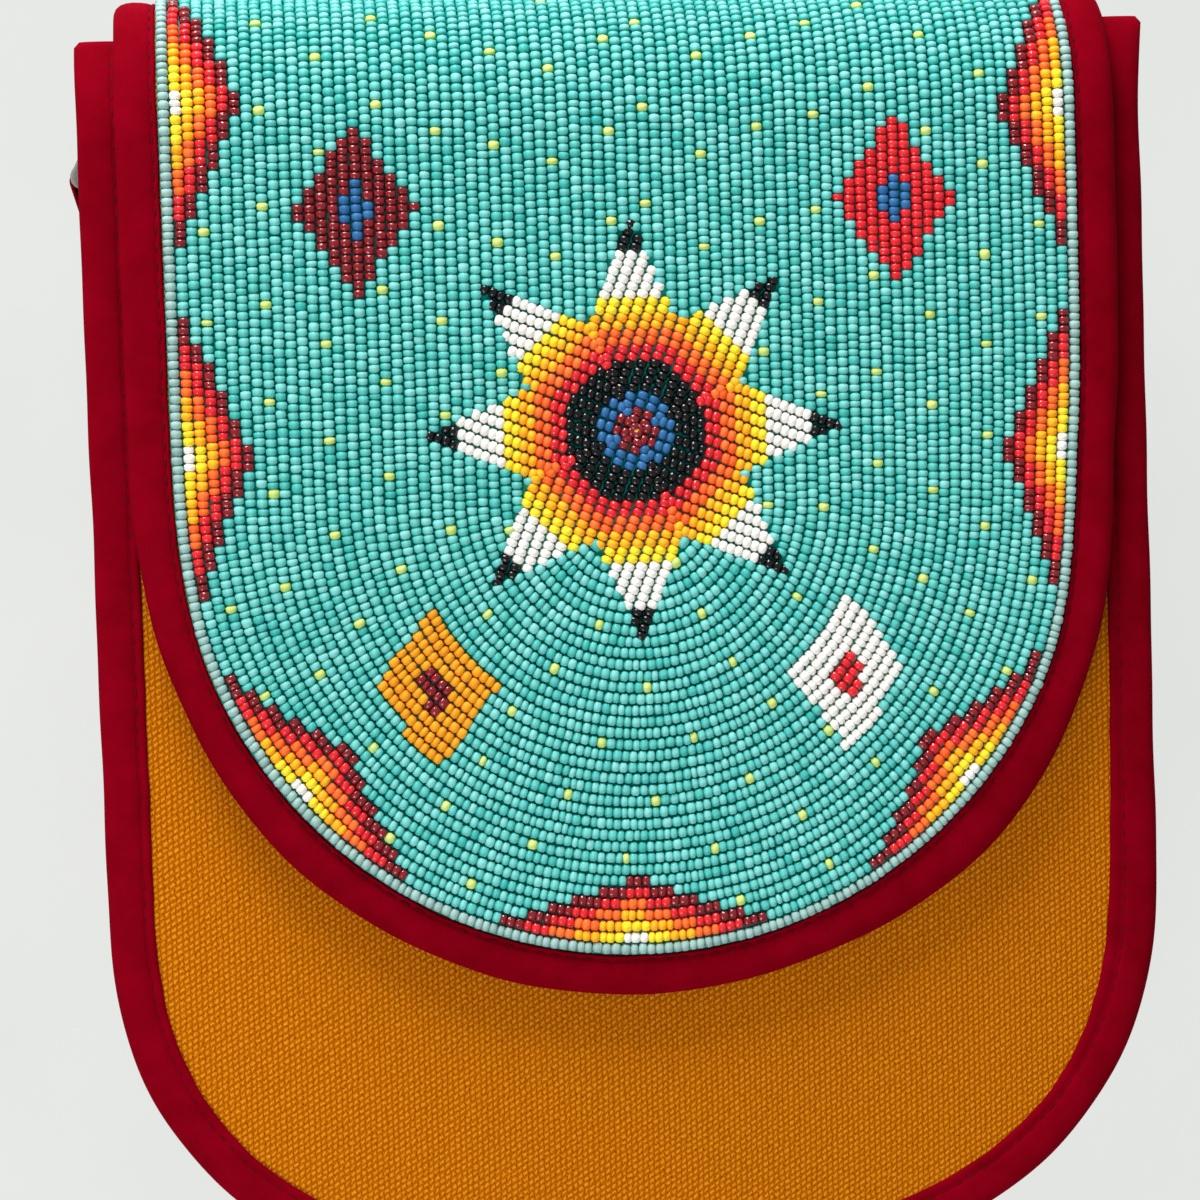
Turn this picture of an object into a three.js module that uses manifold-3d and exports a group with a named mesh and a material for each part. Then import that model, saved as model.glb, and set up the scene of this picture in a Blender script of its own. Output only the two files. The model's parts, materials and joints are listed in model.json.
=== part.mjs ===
// A beaded crossbody bag that lies on its back, in millimetres.
// +X is the bag's width, +Y runs up to the fold at its top, and +Z points out of its front.
// The origin is the middle of the back panel's resting face.
import * as THREE from "three";
import { mergeVertices } from "three/addons/utils/BufferGeometryUtils.js";
import Module from "manifold-3d";

// Body
const BODY_WIDTH = 192; // over the edge bindings
const BODY_HEIGHT = 218; // from the mouth's back corners to the lowest point of the round bottom
const BODY_DEPTH = 44.8; // over the two bindings
const HEM_RISE = 7; // from the mouth's back corners up to the front's hem
const TAIL_RISE = 11.5; // from the mouth's back corners up to the ends of the front binding
const FRONT_BEND = 30; // radius of the bend of the front's top, in under the flap
const BOTTOM_CURVE_HEIGHT = 76; // where the straight sides turn into the round bottom
const BOTTOM_SQUARENESS = 2.42; // superellipse exponent of the bottom: 2 is an ellipse
const BACK_CROWN_MARGIN = 13; // flat border of the back panel, inside its edge
const BACK_CROWN_SLOPE = 12; // width of the slope from that border to the resting face

// Cloth
const CANVAS = 1.4;
const GUSSET_CLOTH = 1.2;
const LINING_CLOTH = 0.8;
const FLAP_LINING_CLOTH = 0.6;
const BINDING_CLOTH = 0.8;
const BINDING_WIDTH = 7.4;
const BINDING_ROUND = 1.2; // chamfer of the binding's folded edge
const BINDING_ROUND_LIMIT = 1.5; // the most that chamfer may be, in cloth thicknesses
const GUSSET_SETBACK = 0.6; // from the binding's inner edge to the gusset's wall
const FIT = 0.2; // space between layers that are sewn together

// Flap
const FLAP_SETBACK = 7; // from the body's side to the flap's side
const FLAP_DROP = 162; // from the mouth's back corners down to the flap's tip
const FLAP_CLEARANCE = 1.2; // between the front binding and the flap's underside
const FOLD_HEIGHT = 20.5; // rise of the flap's underside from where it leaves the flat
const FOLD_FRONT = 14; // from the flap's underside back to the fold's highest line
const SEAM_ANGLE = 128; // degrees round the fold from the front, where the flap is sewn on
const SEAM_MARGIN = 3; // bare canvas between the seam and the beads and binding
const LIP_ROOT = 6; // overlap of a panel's bent top with its flat

// Beadwork: one ridge for each lane of beads
const BEAD_LANES = 40; // from the flap's side to its middle line
const BEAD_HEIGHT = 2;
const BEAD_GROOVE = 0.7; // depth of the groove between two lanes

// Side rings and their tabs
const RING_WIRE = 3.2;
const RING_INSIDE_WIDTH = 20;
const RING_CORNER = 2.4; // bend radius at the ends of the straight bar
const RING_LEG = 4; // straight leg between the bar's corner and the bow
const RING_DROP = 13; // from the mouth's back corners down to the straight bar
const RING_LIFT_LEFT = 8; // from the gusset's wall to the bar: this tab stands off
const RING_LIFT_RIGHT = 4.4; // this tab lies close
const TAB_CLOTH = 0.9;
const TAB_WIDTH = 17.6;
const TAB_SLANT = 30; // height over which the tab leaves the gusset
const TAB_SEWN = 18; // length sewn flat on the gusset
const TAB_BORE_CLEARANCE = 0.3;

// Magnetic snap
const SNAP_RISE = 28; // from the flap's tip up to the snap
const SOCKET_RADIUS = 9;
const SOCKET_BORE_RADIUS = 3.2;
const SOCKET_FLOOR = 0.7; // metal left under the bore
const STUD_RADIUS = 8;
const STUD_FLANGE = 0.6;
const STUD_BOSS_RADIUS = 2.5;
const SHANK_RADIUS = 2;
const SOCKET_WASHER = 0.8;
const STUD_WASHER = 0.6;
const WASHER_RADIUS = 7;

// Steps of the round stretches
const BODY_CURVE_STEPS = 32;
const MOUTH_STEPS = 4; // of the bend at the mouth
const FLAP_CURVE_STEPS = 11; // a quarter of the flap's round end
const FOLD_STEPS = 10;
const RING_BOW_STEPS = 10;
const RING_CORNER_STEPS = 3;
const WIRE_SIDES = 10;
const ROUND_STEPS = 18;
const WELD = 1e-5; // corners closer than this are one

// Levels of the body's edge, counted from each binding's outer face
const panelOuter = BINDING_CLOTH + FIT;
const panelInner = panelOuter + CANVAS;
const flangeOuter = panelInner + FIT;
const flangeInner = flangeOuter + GUSSET_CLOTH;
const bindingThickness = flangeInner + FIT + BINDING_CLOTH;
const edgeInset = BINDING_CLOTH + FIT;
const wallOuter = BINDING_WIDTH + GUSSET_SETBACK;
const wallInner = wallOuter + GUSSET_CLOTH;
const mouth = BODY_HEIGHT / 2;
const front = (level) => BODY_DEPTH - level;

// Levels of the flap, counted outwards from its binding's underside
const flapHalf = BODY_WIDTH / 2 - FLAP_SETBACK;
const flapCentre = mouth - FLAP_DROP + flapHalf;
const flapBase = BODY_DEPTH + FLAP_CLEARANCE;
const flapLining = [edgeInset, edgeInset + FLAP_LINING_CLOTH];
const studWasher = [flapLining[1] + FIT, flapLining[1] + FIT + STUD_WASHER];
const flapCanvas = [studWasher[1] + FIT, studWasher[1] + FIT + CANVAS];
const flapTop = flapCanvas[1] + FIT;
const beadTop = flapTop + BEAD_HEIGHT;
const beadInset = BINDING_WIDTH + FIT;
const beadReach = flapHalf - beadInset;

// The fold: two quarters of ellipses that meet at its highest line and join the flap's flat to the back panel
const foldZ = flapBase - FOLD_FRONT;
const foldBack = foldZ - panelOuter - flapCanvas[1];
const clearOfMouth = (BODY_DEPTH + FIT - foldZ) / FOLD_FRONT;
const foldY = mouth - FOLD_HEIGHT * Math.sqrt(1 - clearOfMouth ** 2);
const seam = THREE.MathUtils.degToRad(SEAM_ANGLE);

// A point on the fold, turned by an angle from the front, at a height over the flap's underside.
function foldPoint(angle, height) {
  const depth = angle < Math.PI / 2 ? FOLD_FRONT : foldBack;
  const normal = new THREE.Vector2(depth * Math.sin(angle), FOLD_HEIGHT * Math.cos(angle)).normalize();
  return new THREE.Vector2(
    foldY + FOLD_HEIGHT * Math.sin(angle) + height * normal.x,
    foldZ + depth * Math.cos(angle) + height * normal.y,
  );
}

const hinge = foldPoint(seam, flapCanvas[1]);
const foldTurnPerMm = 0.01 / foldPoint(seam - 0.01, flapCanvas[1]).distanceTo(hinge);
const canvasTail = seam - (FIT / 2) * foldTurnPerMm;
const lipEnd = seam + (FIT / 2) * foldTurnPerMm;
const trimTail = seam - SEAM_MARGIN * foldTurnPerMm;

// One closed geometry with its faces pointing out, from corners and triangles of corner numbers.
function closedGeometry(corners, faces) {
  const numbers = new Map();
  const points = [];
  const welded = corners.map((corner) => {
    const key = corner.toArray().map((value) => Math.round(value / WELD) + 0).join();
    if (!numbers.has(key)) numbers.set(key, points.push(corner) - 1);
    return numbers.get(key);
  });
  let triangles = faces.map((face) => face.map((corner) => welded[corner]));
  triangles = triangles.filter(([a, b, c]) => a !== b && b !== c && c !== a);
  const part = new THREE.Vector3();
  let volume = 0;
  for (const [a, b, c] of triangles) volume += points[a].dot(part.crossVectors(points[b], points[c]));
  if (volume < 0) triangles = triangles.map(([a, b, c]) => [a, c, b]);
  return new THREE.BufferGeometry().setFromPoints(points).setIndex(triangles.flat());
}

// Triangles that fill a section, turned the way the section runs.
function capFaces(section) {
  const contour = section.map(([across, up]) => new THREE.Vector2(across, up));
  const way = THREE.ShapeUtils.area(contour);
  return THREE.ShapeUtils.triangulateShape(contour, []).map(([a, b, c]) =>
    way * THREE.ShapeUtils.area([contour[a], contour[b], contour[c]]) > 0 ? [a, b, c] : [a, c, b],
  );
}

// Carries a closed section along a path. at(step, across, up) gives a corner in space.
// A loop path has no ends, and openEdge is a side of the section that is left out where two halves meet.
function sweep(steps, section, at, { loop = false, openEdge = -1 } = {}) {
  const sides = section.length;
  const corners = [];
  const faces = [];
  for (let step = 0; step <= steps; step++) {
    for (const [across, up] of section) corners.push(at(step, across, up));
  }
  for (let step = 0; step < steps; step++) {
    for (let side = 0; side < sides; side++) {
      if (side === openEdge) continue;
      const here = step * sides + side;
      const beside = step * sides + ((side + 1) % sides);
      faces.push([here, here + sides, beside + sides], [here, beside + sides, beside]);
    }
  }
  if (!loop) {
    const last = steps * sides;
    for (const [a, b, c] of capFaces(section)) faces.push([a, b, c], [last + a, last + c, last + b]);
  }
  return closedGeometry(corners, faces);
}

// Joins and cuts
const wasm = await Module();
wasm.setup();

function toSolid(geometry) {
  const bare = geometry.clone();
  bare.deleteAttribute("normal");
  bare.deleteAttribute("uv");
  const welded = mergeVertices(bare);
  const vertProperties = welded.attributes.position.array;
  const triVerts = new Uint32Array(welded.index.array);
  return new wasm.Manifold(new wasm.Mesh({ numProp: 3, vertProperties, triVerts }));
}

function toGeometry(solid) {
  const { vertProperties, triVerts } = solid.getMesh();
  return new THREE.BufferGeometry()
    .setAttribute("position", new THREE.BufferAttribute(vertProperties, 3))
    .setIndex(new THREE.BufferAttribute(triVerts, 1));
}

// The body's outline: down the left side, round the bottom and up the right side
const BODY_STEPS = BODY_CURVE_STEPS + 2;

function bodyOutline(step, inset, top = mouth) {
  const half = BODY_WIDTH / 2;
  if (step === 0) return new THREE.Vector2(inset - half, top);
  if (step === BODY_STEPS) return new THREE.Vector2(half - inset, top);
  const angle = (Math.PI * (step - 1)) / BODY_CURVE_STEPS;
  const across = -Math.sign(Math.cos(angle)) * Math.abs(Math.cos(angle)) ** (2 / BOTTOM_SQUARENESS);
  const down = Math.abs(Math.sin(angle)) ** (2 / BOTTOM_SQUARENESS);
  const outward = new THREE.Vector2(
    (Math.sign(across) * Math.abs(across) ** (BOTTOM_SQUARENESS - 1)) / half,
    -(down ** (BOTTOM_SQUARENESS - 1)) / BOTTOM_CURVE_HEIGHT,
  ).normalize();
  const curveTop = BOTTOM_CURVE_HEIGHT - BODY_HEIGHT / 2;
  const point = new THREE.Vector2(half * across, curveTop - BOTTOM_CURVE_HEIGHT * down);
  return point.addScaledVector(outward, -inset);
}

function bodyShape(inset, top = mouth) {
  const points = Array.from({ length: BODY_STEPS + 1 }, (_, step) => bodyOutline(step, inset, top));
  return new THREE.Shape(points);
}

// A flat piece with the body's outline, between two levels.
function bodyPlate(inset, low, high, top = mouth, holes = []) {
  const shape = bodyShape(inset, top);
  shape.holes.push(...holes);
  const settings = { depth: high - low, bevelEnabled: false, curveSegments: ROUND_STEPS };
  return new THREE.ExtrudeGeometry(shape, settings).translate(0, 0, low);
}

// A corner at a level of the body's side. Over the fold's line the front bends back and the back stays flat.
function bentCorner(x, y, level) {
  const bend = Math.max(y - foldY, 0) ** 2 / (2 * FRONT_BEND);
  return new THREE.Vector3(x, y, level - (bend * level) / BODY_DEPTH);
}

// A strip that follows the body's outline, with a section of [inset, level] corners. rise gives how far above
// the mouth's back corners its ends stand at a level, and its ends reach no further in than endReach.
function bodyStrip(section, rise = () => 0, endReach = Infinity) {
  return sweep(BODY_STEPS + 2 * MOUTH_STEPS, section, (step, inset, level) => {
    const outlineStep = THREE.MathUtils.clamp(step - MOUTH_STEPS, 0, BODY_STEPS);
    const past = Math.abs(step - MOUTH_STEPS - outlineStep) / MOUTH_STEPS;
    const { x, y } = bodyOutline(outlineStep, past > 0 ? Math.min(inset, endReach) : inset, foldY);
    return bentCorner(x, y + past * (mouth + rise(level) - foldY), level);
  });
}

// The folded tape round an edge: two legs and a chamfered web, as [inset, level] corners over a base.
function bindingSection(thickness, base = 0) {
  const chamfer = Math.min(BINDING_ROUND, BINDING_ROUND_LIMIT * BINDING_CLOTH);
  const corners = [
    [chamfer, 0],
    [BINDING_WIDTH, 0],
    [BINDING_WIDTH, BINDING_CLOTH],
    [BINDING_CLOTH, BINDING_CLOTH],
    [BINDING_CLOTH, thickness - BINDING_CLOTH],
    [BINDING_WIDTH, thickness - BINDING_CLOTH],
    [BINDING_WIDTH, thickness],
    [chamfer, thickness],
    [0, thickness - chamfer],
    [0, chamfer],
  ];
  return corners.map(([inset, level]) => [inset, level + base]);
}

// A corner of a piece that follows the fold, at a place across the width.
function foldCorner(across, angle, height) {
  const { x: y, y: z } = foldPoint(angle, height);
  return new THREE.Vector3(across, y, z);
}

// The flap in rows from its tip to its tail: each row is a line across the flap.
function flapCorner(row, side, inset, height, tail) {
  const radius = flapHalf - inset;
  if (row > FLAP_CURVE_STEPS) {
    const angle = (seam * (row - FLAP_CURVE_STEPS - 1)) / FOLD_STEPS;
    return foldCorner(side * radius, Math.min(angle, tail), height);
  }
  const angle = (Math.PI / 2) * (row / FLAP_CURVE_STEPS - 1);
  return new THREE.Vector3(
    side * radius * Math.cos(angle),
    flapCentre + radius * Math.sin(angle),
    flapBase + height,
  );
}

const FLAP_ROWS = FLAP_CURVE_STEPS + 1 + FOLD_STEPS;

// A cloth layer of the flap between two heights.
function flapSheet([low, high], tail) {
  const section = [
    [-1, low],
    [1, low],
    [1, high],
    [-1, high],
  ];
  return sweep(FLAP_ROWS, section, (row, side, height) => flapCorner(row, side, edgeInset, height, tail));
}

// A strip along the flap's edge, from the left of the tail round the tip to the right of the tail.
function flapStrip(section, options) {
  const corner = (step, inset, height) => {
    const row = Math.abs(step - FLAP_ROWS);
    return flapCorner(row, Math.sign(step - FLAP_ROWS), inset, height, trimTail);
  };
  return sweep(2 * FLAP_ROWS, section, corner, options);
}

// The back panel: a flat with a crowned resting face, and a lip that runs up into the fold.
function backPanel() {
  const flat = bodyPlate(edgeInset, panelOuter, panelInner, foldY);
  const margin = edgeInset + BACK_CROWN_MARGIN;
  const restInset = margin + BACK_CROWN_SLOPE;
  const sloped = new THREE.ExtrudeGeometry(bodyShape(restInset, foldY - restInset), {
    depth: CANVAS,
    bevelThickness: panelOuter,
    bevelSize: BACK_CROWN_SLOPE,
    bevelSegments: 1,
  }).translate(0, 0, panelOuter);
  const slab = bodyPlate(margin - FIT, 0, (panelOuter + panelInner) / 2, foldY - FIT);
  const crown = toSolid(sloped).intersect(toSolid(slab));
  const lipHalf = BODY_WIDTH / 2 - wallInner - FIT;
  const lipSection = [
    [-lipHalf, flapCanvas[0]],
    [lipHalf, flapCanvas[0]],
    [lipHalf, flapCanvas[1]],
    [-lipHalf, flapCanvas[1]],
  ];
  const lip = sweep(FOLD_STEPS, lipSection, (step, half, height) => {
    const turn = Math.max(step - 1, 0) / (FOLD_STEPS - 1);
    const corner = foldCorner(half, Math.PI + (lipEnd - Math.PI) * turn, height);
    if (step === 0) corner.y -= LIP_ROOT;
    return corner;
  });
  return toGeometry(toSolid(flat).add(crown).add(toSolid(lip)));
}

// The gusset: a wall between the panels with a flange turned out along each. Its ends climb to the front's hem.
function gusset() {
  const section = [
    [edgeInset, flangeOuter],
    [wallInner, flangeOuter],
    [wallInner, front(flangeOuter)],
    [edgeInset, front(flangeOuter)],
    [edgeInset, front(flangeInner)],
    [wallOuter, front(flangeInner)],
    [wallOuter, flangeInner],
    [edgeInset, flangeInner],
  ];
  return bodyStrip(section, (level) => (HEM_RISE * level) / BODY_DEPTH);
}

// The lining: a pouch with the body's outline, open at the mouth.
const liningBack = panelInner + FIT;
const liningFront = front(panelInner + FIT + SOCKET_WASHER + FIT);
const liningInset = wallInner + FIT;

function lining() {
  const top = foldY - FIT;
  const outside = bodyPlate(liningInset, liningBack, liningFront, top);
  const hollow = bodyPlate(
    liningInset + LINING_CLOTH,
    liningBack + LINING_CLOTH,
    liningFront - LINING_CLOTH,
    top + LINING_CLOTH,
  );
  return toGeometry(toSolid(outside).subtract(toSolid(hollow)));
}

// The beadwork: lanes side by side from the binding to the flap's middle line, where the two halves meet.
function beadwork() {
  const groove = beadTop - BEAD_GROOVE;
  const pitch = beadReach / BEAD_LANES;
  const section = [[beadInset, flapTop]];
  for (let lane = 0; lane < BEAD_LANES; lane++) {
    section.push([beadInset + lane * pitch, groove], [beadInset + (lane + 0.5) * pitch, beadTop]);
  }
  section.push([flapHalf, groove], [flapHalf, flapTop]);
  return flapStrip(section, { openEdge: section.length - 2 });
}

// A turned piece about its own +Z axis, from [radius, level] corners.
function turned(profile) {
  const points = profile.map(([radius, level]) => new THREE.Vector2(radius, level));
  const made = new THREE.LatheGeometry(points, ROUND_STEPS).rotateX(Math.PI / 2);
  const { position } = made.attributes;
  const corners = [];
  const faces = [];
  for (let i = 0; i < position.count; i++) corners.push(new THREE.Vector3().fromBufferAttribute(position, i));
  for (let i = 0; i < made.index.count; i += 3) faces.push(Array.from(made.index.array.slice(i, i + 3)));
  return closedGeometry(corners, faces);
}

function washer(innerRadius, thickness) {
  return turned([
    [innerRadius, 0],
    [WASHER_RADIUS, 0],
    [WASHER_RADIUS, thickness],
    [innerRadius, thickness],
    [innerRadius, 0],
  ]);
}

// The snap: a socket on the front panel and a stud under the flap, each riveted through its cloth to a washer
const snapY = flapCentre - flapHalf + SNAP_RISE;
const shankHole = SHANK_RADIUS + FIT;
const socketBase = front(panelOuter) + FIT;
const studBase = flapBase + flapLining[0] - FIT - STUD_FLANGE;
const socketTop = studBase - FIT;

function snapSocket() {
  const shank = front(panelInner) - FIT - SOCKET_WASHER;
  return turned([
    [0, shank],
    [SHANK_RADIUS, shank],
    [SHANK_RADIUS, socketBase],
    [SOCKET_RADIUS, socketBase],
    [SOCKET_RADIUS, socketTop],
    [SOCKET_BORE_RADIUS, socketTop],
    [SOCKET_BORE_RADIUS, socketBase + SOCKET_FLOOR],
    [0, socketBase + SOCKET_FLOOR],
  ]);
}

function snapStud() {
  const tip = socketBase + SOCKET_FLOOR + FIT;
  const shank = flapBase + studWasher[1];
  return turned([
    [0, tip],
    [STUD_BOSS_RADIUS, tip],
    [STUD_BOSS_RADIUS, studBase],
    [STUD_RADIUS, studBase],
    [STUD_RADIUS, studBase + STUD_FLANGE],
    [SHANK_RADIUS, studBase + STUD_FLANGE],
    [SHANK_RADIUS, shank],
    [0, shank],
  ]);
}

// The front panel: a flat with the snap's hole, and a top that bends in under the flap.
function frontPanel() {
  const hole = new THREE.Path().absarc(0, snapY, shankHole, 0, 2 * Math.PI);
  const flat = bodyPlate(edgeInset, front(panelInner), front(panelOuter), foldY, [hole]);
  const half = BODY_WIDTH / 2 - edgeInset;
  const section = [
    [-half, front(panelInner)],
    [half, front(panelInner)],
    [half, front(panelOuter)],
    [-half, front(panelOuter)],
  ];
  const rise = mouth + HEM_RISE - foldY;
  const top = sweep(MOUTH_STEPS + 1, section, (step, across, level) => {
    const above = step === 0 ? -LIP_ROOT : (rise * (step - 1)) / MOUTH_STEPS;
    return bentCorner(across, foldY + above, level);
  });
  return toGeometry(toSolid(flat).add(toSolid(top)));
}

function flapLiningCloth() {
  const drill = new THREE.CylinderGeometry(shankHole, shankHole, 2 * CANVAS, ROUND_STEPS)
    .rotateX(Math.PI / 2)
    .translate(0, snapY, flapBase + flapLining[0]);
  return toGeometry(toSolid(flapSheet(flapLining, canvasTail)).subtract(toSolid(drill)));
}

// A D-ring in its own frame: the bar lies on the Z axis and the bow rises along +Y.
const bowRadius = (RING_INSIDE_WIDTH + RING_WIRE) / 2;
const ringRise = RING_CORNER + RING_LEG + bowRadius;

function ring() {
  const path = new THREE.Path();
  const corner = bowRadius - RING_CORNER;
  path.moveTo(-corner, 0);
  path.lineTo(corner, 0);
  path.absarc(corner, RING_CORNER, RING_CORNER, -Math.PI / 2, 0);
  path.absarc(0, RING_CORNER + RING_LEG, bowRadius, 0, Math.PI);
  path.absarc(-corner, RING_CORNER, RING_CORNER, Math.PI, (3 * Math.PI) / 2);
  const stations = [];
  for (const piece of path.curves) {
    const isBow = piece.xRadius === bowRadius;
    const steps = piece.isLineCurve ? 1 : isBow ? RING_BOW_STEPS : RING_CORNER_STEPS;
    for (let step = 0; step < steps; step++) {
      const tangent = piece.getTangent(step / steps);
      const outward = new THREE.Vector2(tangent.y, -tangent.x);
      stations.push({ point: piece.getPoint(step / steps), outward });
    }
  }
  const section = Array.from({ length: WIRE_SIDES }, (_, side) => {
    const angle = (2 * Math.PI * side) / WIRE_SIDES;
    return [(RING_WIRE / 2) * Math.cos(angle), (RING_WIRE / 2) * Math.sin(angle)];
  });
  const at = (step, across, up) => {
    const { point, outward } = stations[step % stations.length];
    return new THREE.Vector3(up, point.y + outward.y * across, point.x + outward.x * across);
  };
  return sweep(stations.length, section, at, { loop: true });
}

// A tab: cloth sewn flat on the gusset that slants out to a loop round the ring's bar.
// Its own frame has the bar at the origin, and outward is -1 on the left side and 1 on the right.
function ringTab(lift, outward) {
  const bore = RING_WIRE / 2 + TAB_BORE_CLEARANCE;
  const loop = bore + TAB_CLOTH;
  const foot = new THREE.Vector2(FIT + TAB_CLOTH - lift, -TAB_SLANT);
  const slope = foot.angle();
  const spread = Math.asin(TAB_CLOTH / loop);
  const shape = new THREE.Shape();
  shape.absarc(0, 0, loop, slope + spread, slope - spread + 2 * Math.PI);
  shape.lineTo(foot.x - TAB_CLOTH, foot.y);
  shape.lineTo(foot.x - TAB_CLOTH, foot.y - TAB_SEWN);
  shape.lineTo(foot.x + TAB_CLOTH, foot.y - TAB_SEWN);
  shape.lineTo(foot.x + TAB_CLOTH, foot.y);
  shape.holes.push(new THREE.Path().absarc(0, 0, bore, 0, 2 * Math.PI));
  const settings = { depth: TAB_WIDTH, bevelEnabled: false, curveSegments: ROUND_STEPS };
  const made = new THREE.ExtrudeGeometry(shape, settings).translate(0, 0, -TAB_WIDTH / 2);
  return outward > 0 ? made : made.rotateY(Math.PI);
}

// Finishes
const ochreCanvas = new THREE.MeshStandardMaterial({ color: 0xc07c12, roughness: 0.9 });
const crimsonTape = new THREE.MeshStandardMaterial({ color: 0x96001c, roughness: 0.85 });
const liningCotton = new THREE.MeshStandardMaterial({ color: 0x8a1420, roughness: 0.9 });
const glassBeads = new THREE.MeshStandardMaterial({ color: 0x5cc4bc, roughness: 0.35 });
const nickel = new THREE.MeshStandardMaterial({ color: 0xb4b4b0, roughness: 0.3, metalness: 1 });

function named(name, geometry, material) {
  const mesh = new THREE.Mesh(geometry, material);
  mesh.name = name;
  return mesh;
}

// Assembly: the body, the flap about its seam, and a ring in its tab on each side
const bag = new THREE.Group();
const frontEdge = bindingSection(bindingThickness, front(bindingThickness));
const frontBinding = bodyStrip(frontEdge, () => TAIL_RISE, FLAP_SETBACK - FIT);
const socketWasher = named("snap_socket_washer", washer(shankHole, SOCKET_WASHER), nickel);
socketWasher.position.set(0, snapY, front(panelInner) - FIT - SOCKET_WASHER);
const socket = named("snap_socket", snapSocket(), nickel);
socket.position.y = snapY;
bag.add(
  named("back_panel", backPanel(), ochreCanvas),
  named("front_panel", frontPanel(), ochreCanvas),
  named("gusset", gusset(), ochreCanvas),
  named("back_binding", bodyStrip(bindingSection(bindingThickness)), crimsonTape),
  named("front_binding", frontBinding, crimsonTape),
  named("lining", lining(), liningCotton),
  socket,
  socketWasher,
);

const stud = named("snap_stud", snapStud(), nickel);
stud.position.y = snapY;
const studWasherRing = named("snap_stud_washer", washer(shankHole, STUD_WASHER), nickel);
studWasherRing.position.set(0, snapY, flapBase + studWasher[0]);
const flapParts = new THREE.Group();
flapParts.position.set(0, -hinge.x, -hinge.y);
flapParts.add(
  named("flap_panel", flapSheet(flapCanvas, canvasTail), ochreCanvas),
  named("flap_lining", flapLiningCloth(), liningCotton),
  named("flap_beadwork", beadwork(), glassBeads),
  named("flap_binding", flapStrip(bindingSection(flapTop + BINDING_CLOTH)), crimsonTape),
  stud,
  studWasherRing,
);
const flap = new THREE.Group();
flap.position.set(0, hinge.x, hinge.y);
flap.add(flapParts);
bag.add(flap);

for (const [side, outward, lift] of [
  ["left", -1, RING_LIFT_LEFT],
  ["right", 1, RING_LIFT_RIGHT],
]) {
  const holder = new THREE.Group();
  holder.position.set(outward * (BODY_WIDTH / 2 - wallOuter + lift), mouth - RING_DROP, BODY_DEPTH / 2);
  const dRing = named("d_ring_" + side, ring(), nickel);
  dRing.rotation.z = outward * Math.asin((lift - RING_WIRE / 2 - FIT) / ringRise); // it leans on the gusset
  holder.add(named("ring_tab_" + side, ringTab(lift, outward), crimsonTape), dRing);
  bag.add(holder);
}

export default bag;
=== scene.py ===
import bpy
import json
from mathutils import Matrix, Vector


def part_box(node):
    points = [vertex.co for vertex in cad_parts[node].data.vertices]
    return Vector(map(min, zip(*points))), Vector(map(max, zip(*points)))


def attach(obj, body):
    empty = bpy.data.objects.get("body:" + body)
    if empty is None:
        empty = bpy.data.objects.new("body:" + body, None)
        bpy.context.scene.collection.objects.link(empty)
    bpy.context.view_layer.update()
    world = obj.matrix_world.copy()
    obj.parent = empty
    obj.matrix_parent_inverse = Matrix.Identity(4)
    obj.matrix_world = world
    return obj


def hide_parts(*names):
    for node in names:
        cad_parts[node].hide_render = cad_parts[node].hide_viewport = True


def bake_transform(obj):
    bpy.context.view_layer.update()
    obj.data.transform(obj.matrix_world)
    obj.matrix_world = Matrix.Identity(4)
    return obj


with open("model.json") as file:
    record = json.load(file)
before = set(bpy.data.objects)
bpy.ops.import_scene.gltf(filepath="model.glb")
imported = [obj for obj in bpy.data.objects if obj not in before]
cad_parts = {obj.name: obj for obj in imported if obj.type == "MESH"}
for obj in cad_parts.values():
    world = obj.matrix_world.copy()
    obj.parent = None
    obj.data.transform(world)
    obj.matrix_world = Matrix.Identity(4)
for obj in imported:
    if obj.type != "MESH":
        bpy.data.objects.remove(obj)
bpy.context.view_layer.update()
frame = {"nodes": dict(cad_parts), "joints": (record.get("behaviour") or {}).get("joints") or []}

import json
import math
from functools import partial

import bmesh
import bpy
import numpy as np
from mathutils import Vector

# The bag lies on its back: +X is its width, +Y runs up to the fold and +Z points out of its front.
# Lengths are in millimetres and become metres when a mesh is made.
MM = 0.001


def box_mm(node):
    """The two corners of a CAD node's box."""
    low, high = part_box(node)
    return np.array(low) / MM, np.array(high) / MM


def joint_place(name):
    """The point that a joint turns about."""
    joint = next(joint for joint in frame["joints"] if joint["name"] == name)
    return np.array(joint["pos_m"]) / MM


# Body
HALF_WIDTH, _, FRONT = box_mm("front_binding")[1]
MOUTH = box_mm("back_binding")[1][1]  # at its back corners
BOTTOM_CURVE_HEIGHT = 76.0
BOTTOM_SQUARENESS = 2.42  # superellipse exponent of the round bottom
CANVAS = 1.4
GUSSET_CLOTH = 1.2
LINING_CLOTH = 0.8
TAPE = 0.8  # thickness of the binding tape
TAPE_WIDTH = 7.4
BODY_EDGE = 4.8  # thickness of a bound edge of the body
EDGE_INSET = 1.3  # from the tape's outer edge to the cloth inside it
PANEL_FACE = FRONT - 1.0  # outer face of the front canvas
BACK_FACE = 1.0  # outer face of the back canvas at its edge
FRONT_CROWN = 1.5  # how far the front canvas swells between its edges
FRONT_CROWN_REACH = 40.0  # length over which that swell comes in from an edge
BACK_CROWN_MARGIN = 14.0  # flat border of the back, inside its edge
BACK_CROWN_SLOPE = 12.0  # width of the slope from that border to the face it rests on

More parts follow.
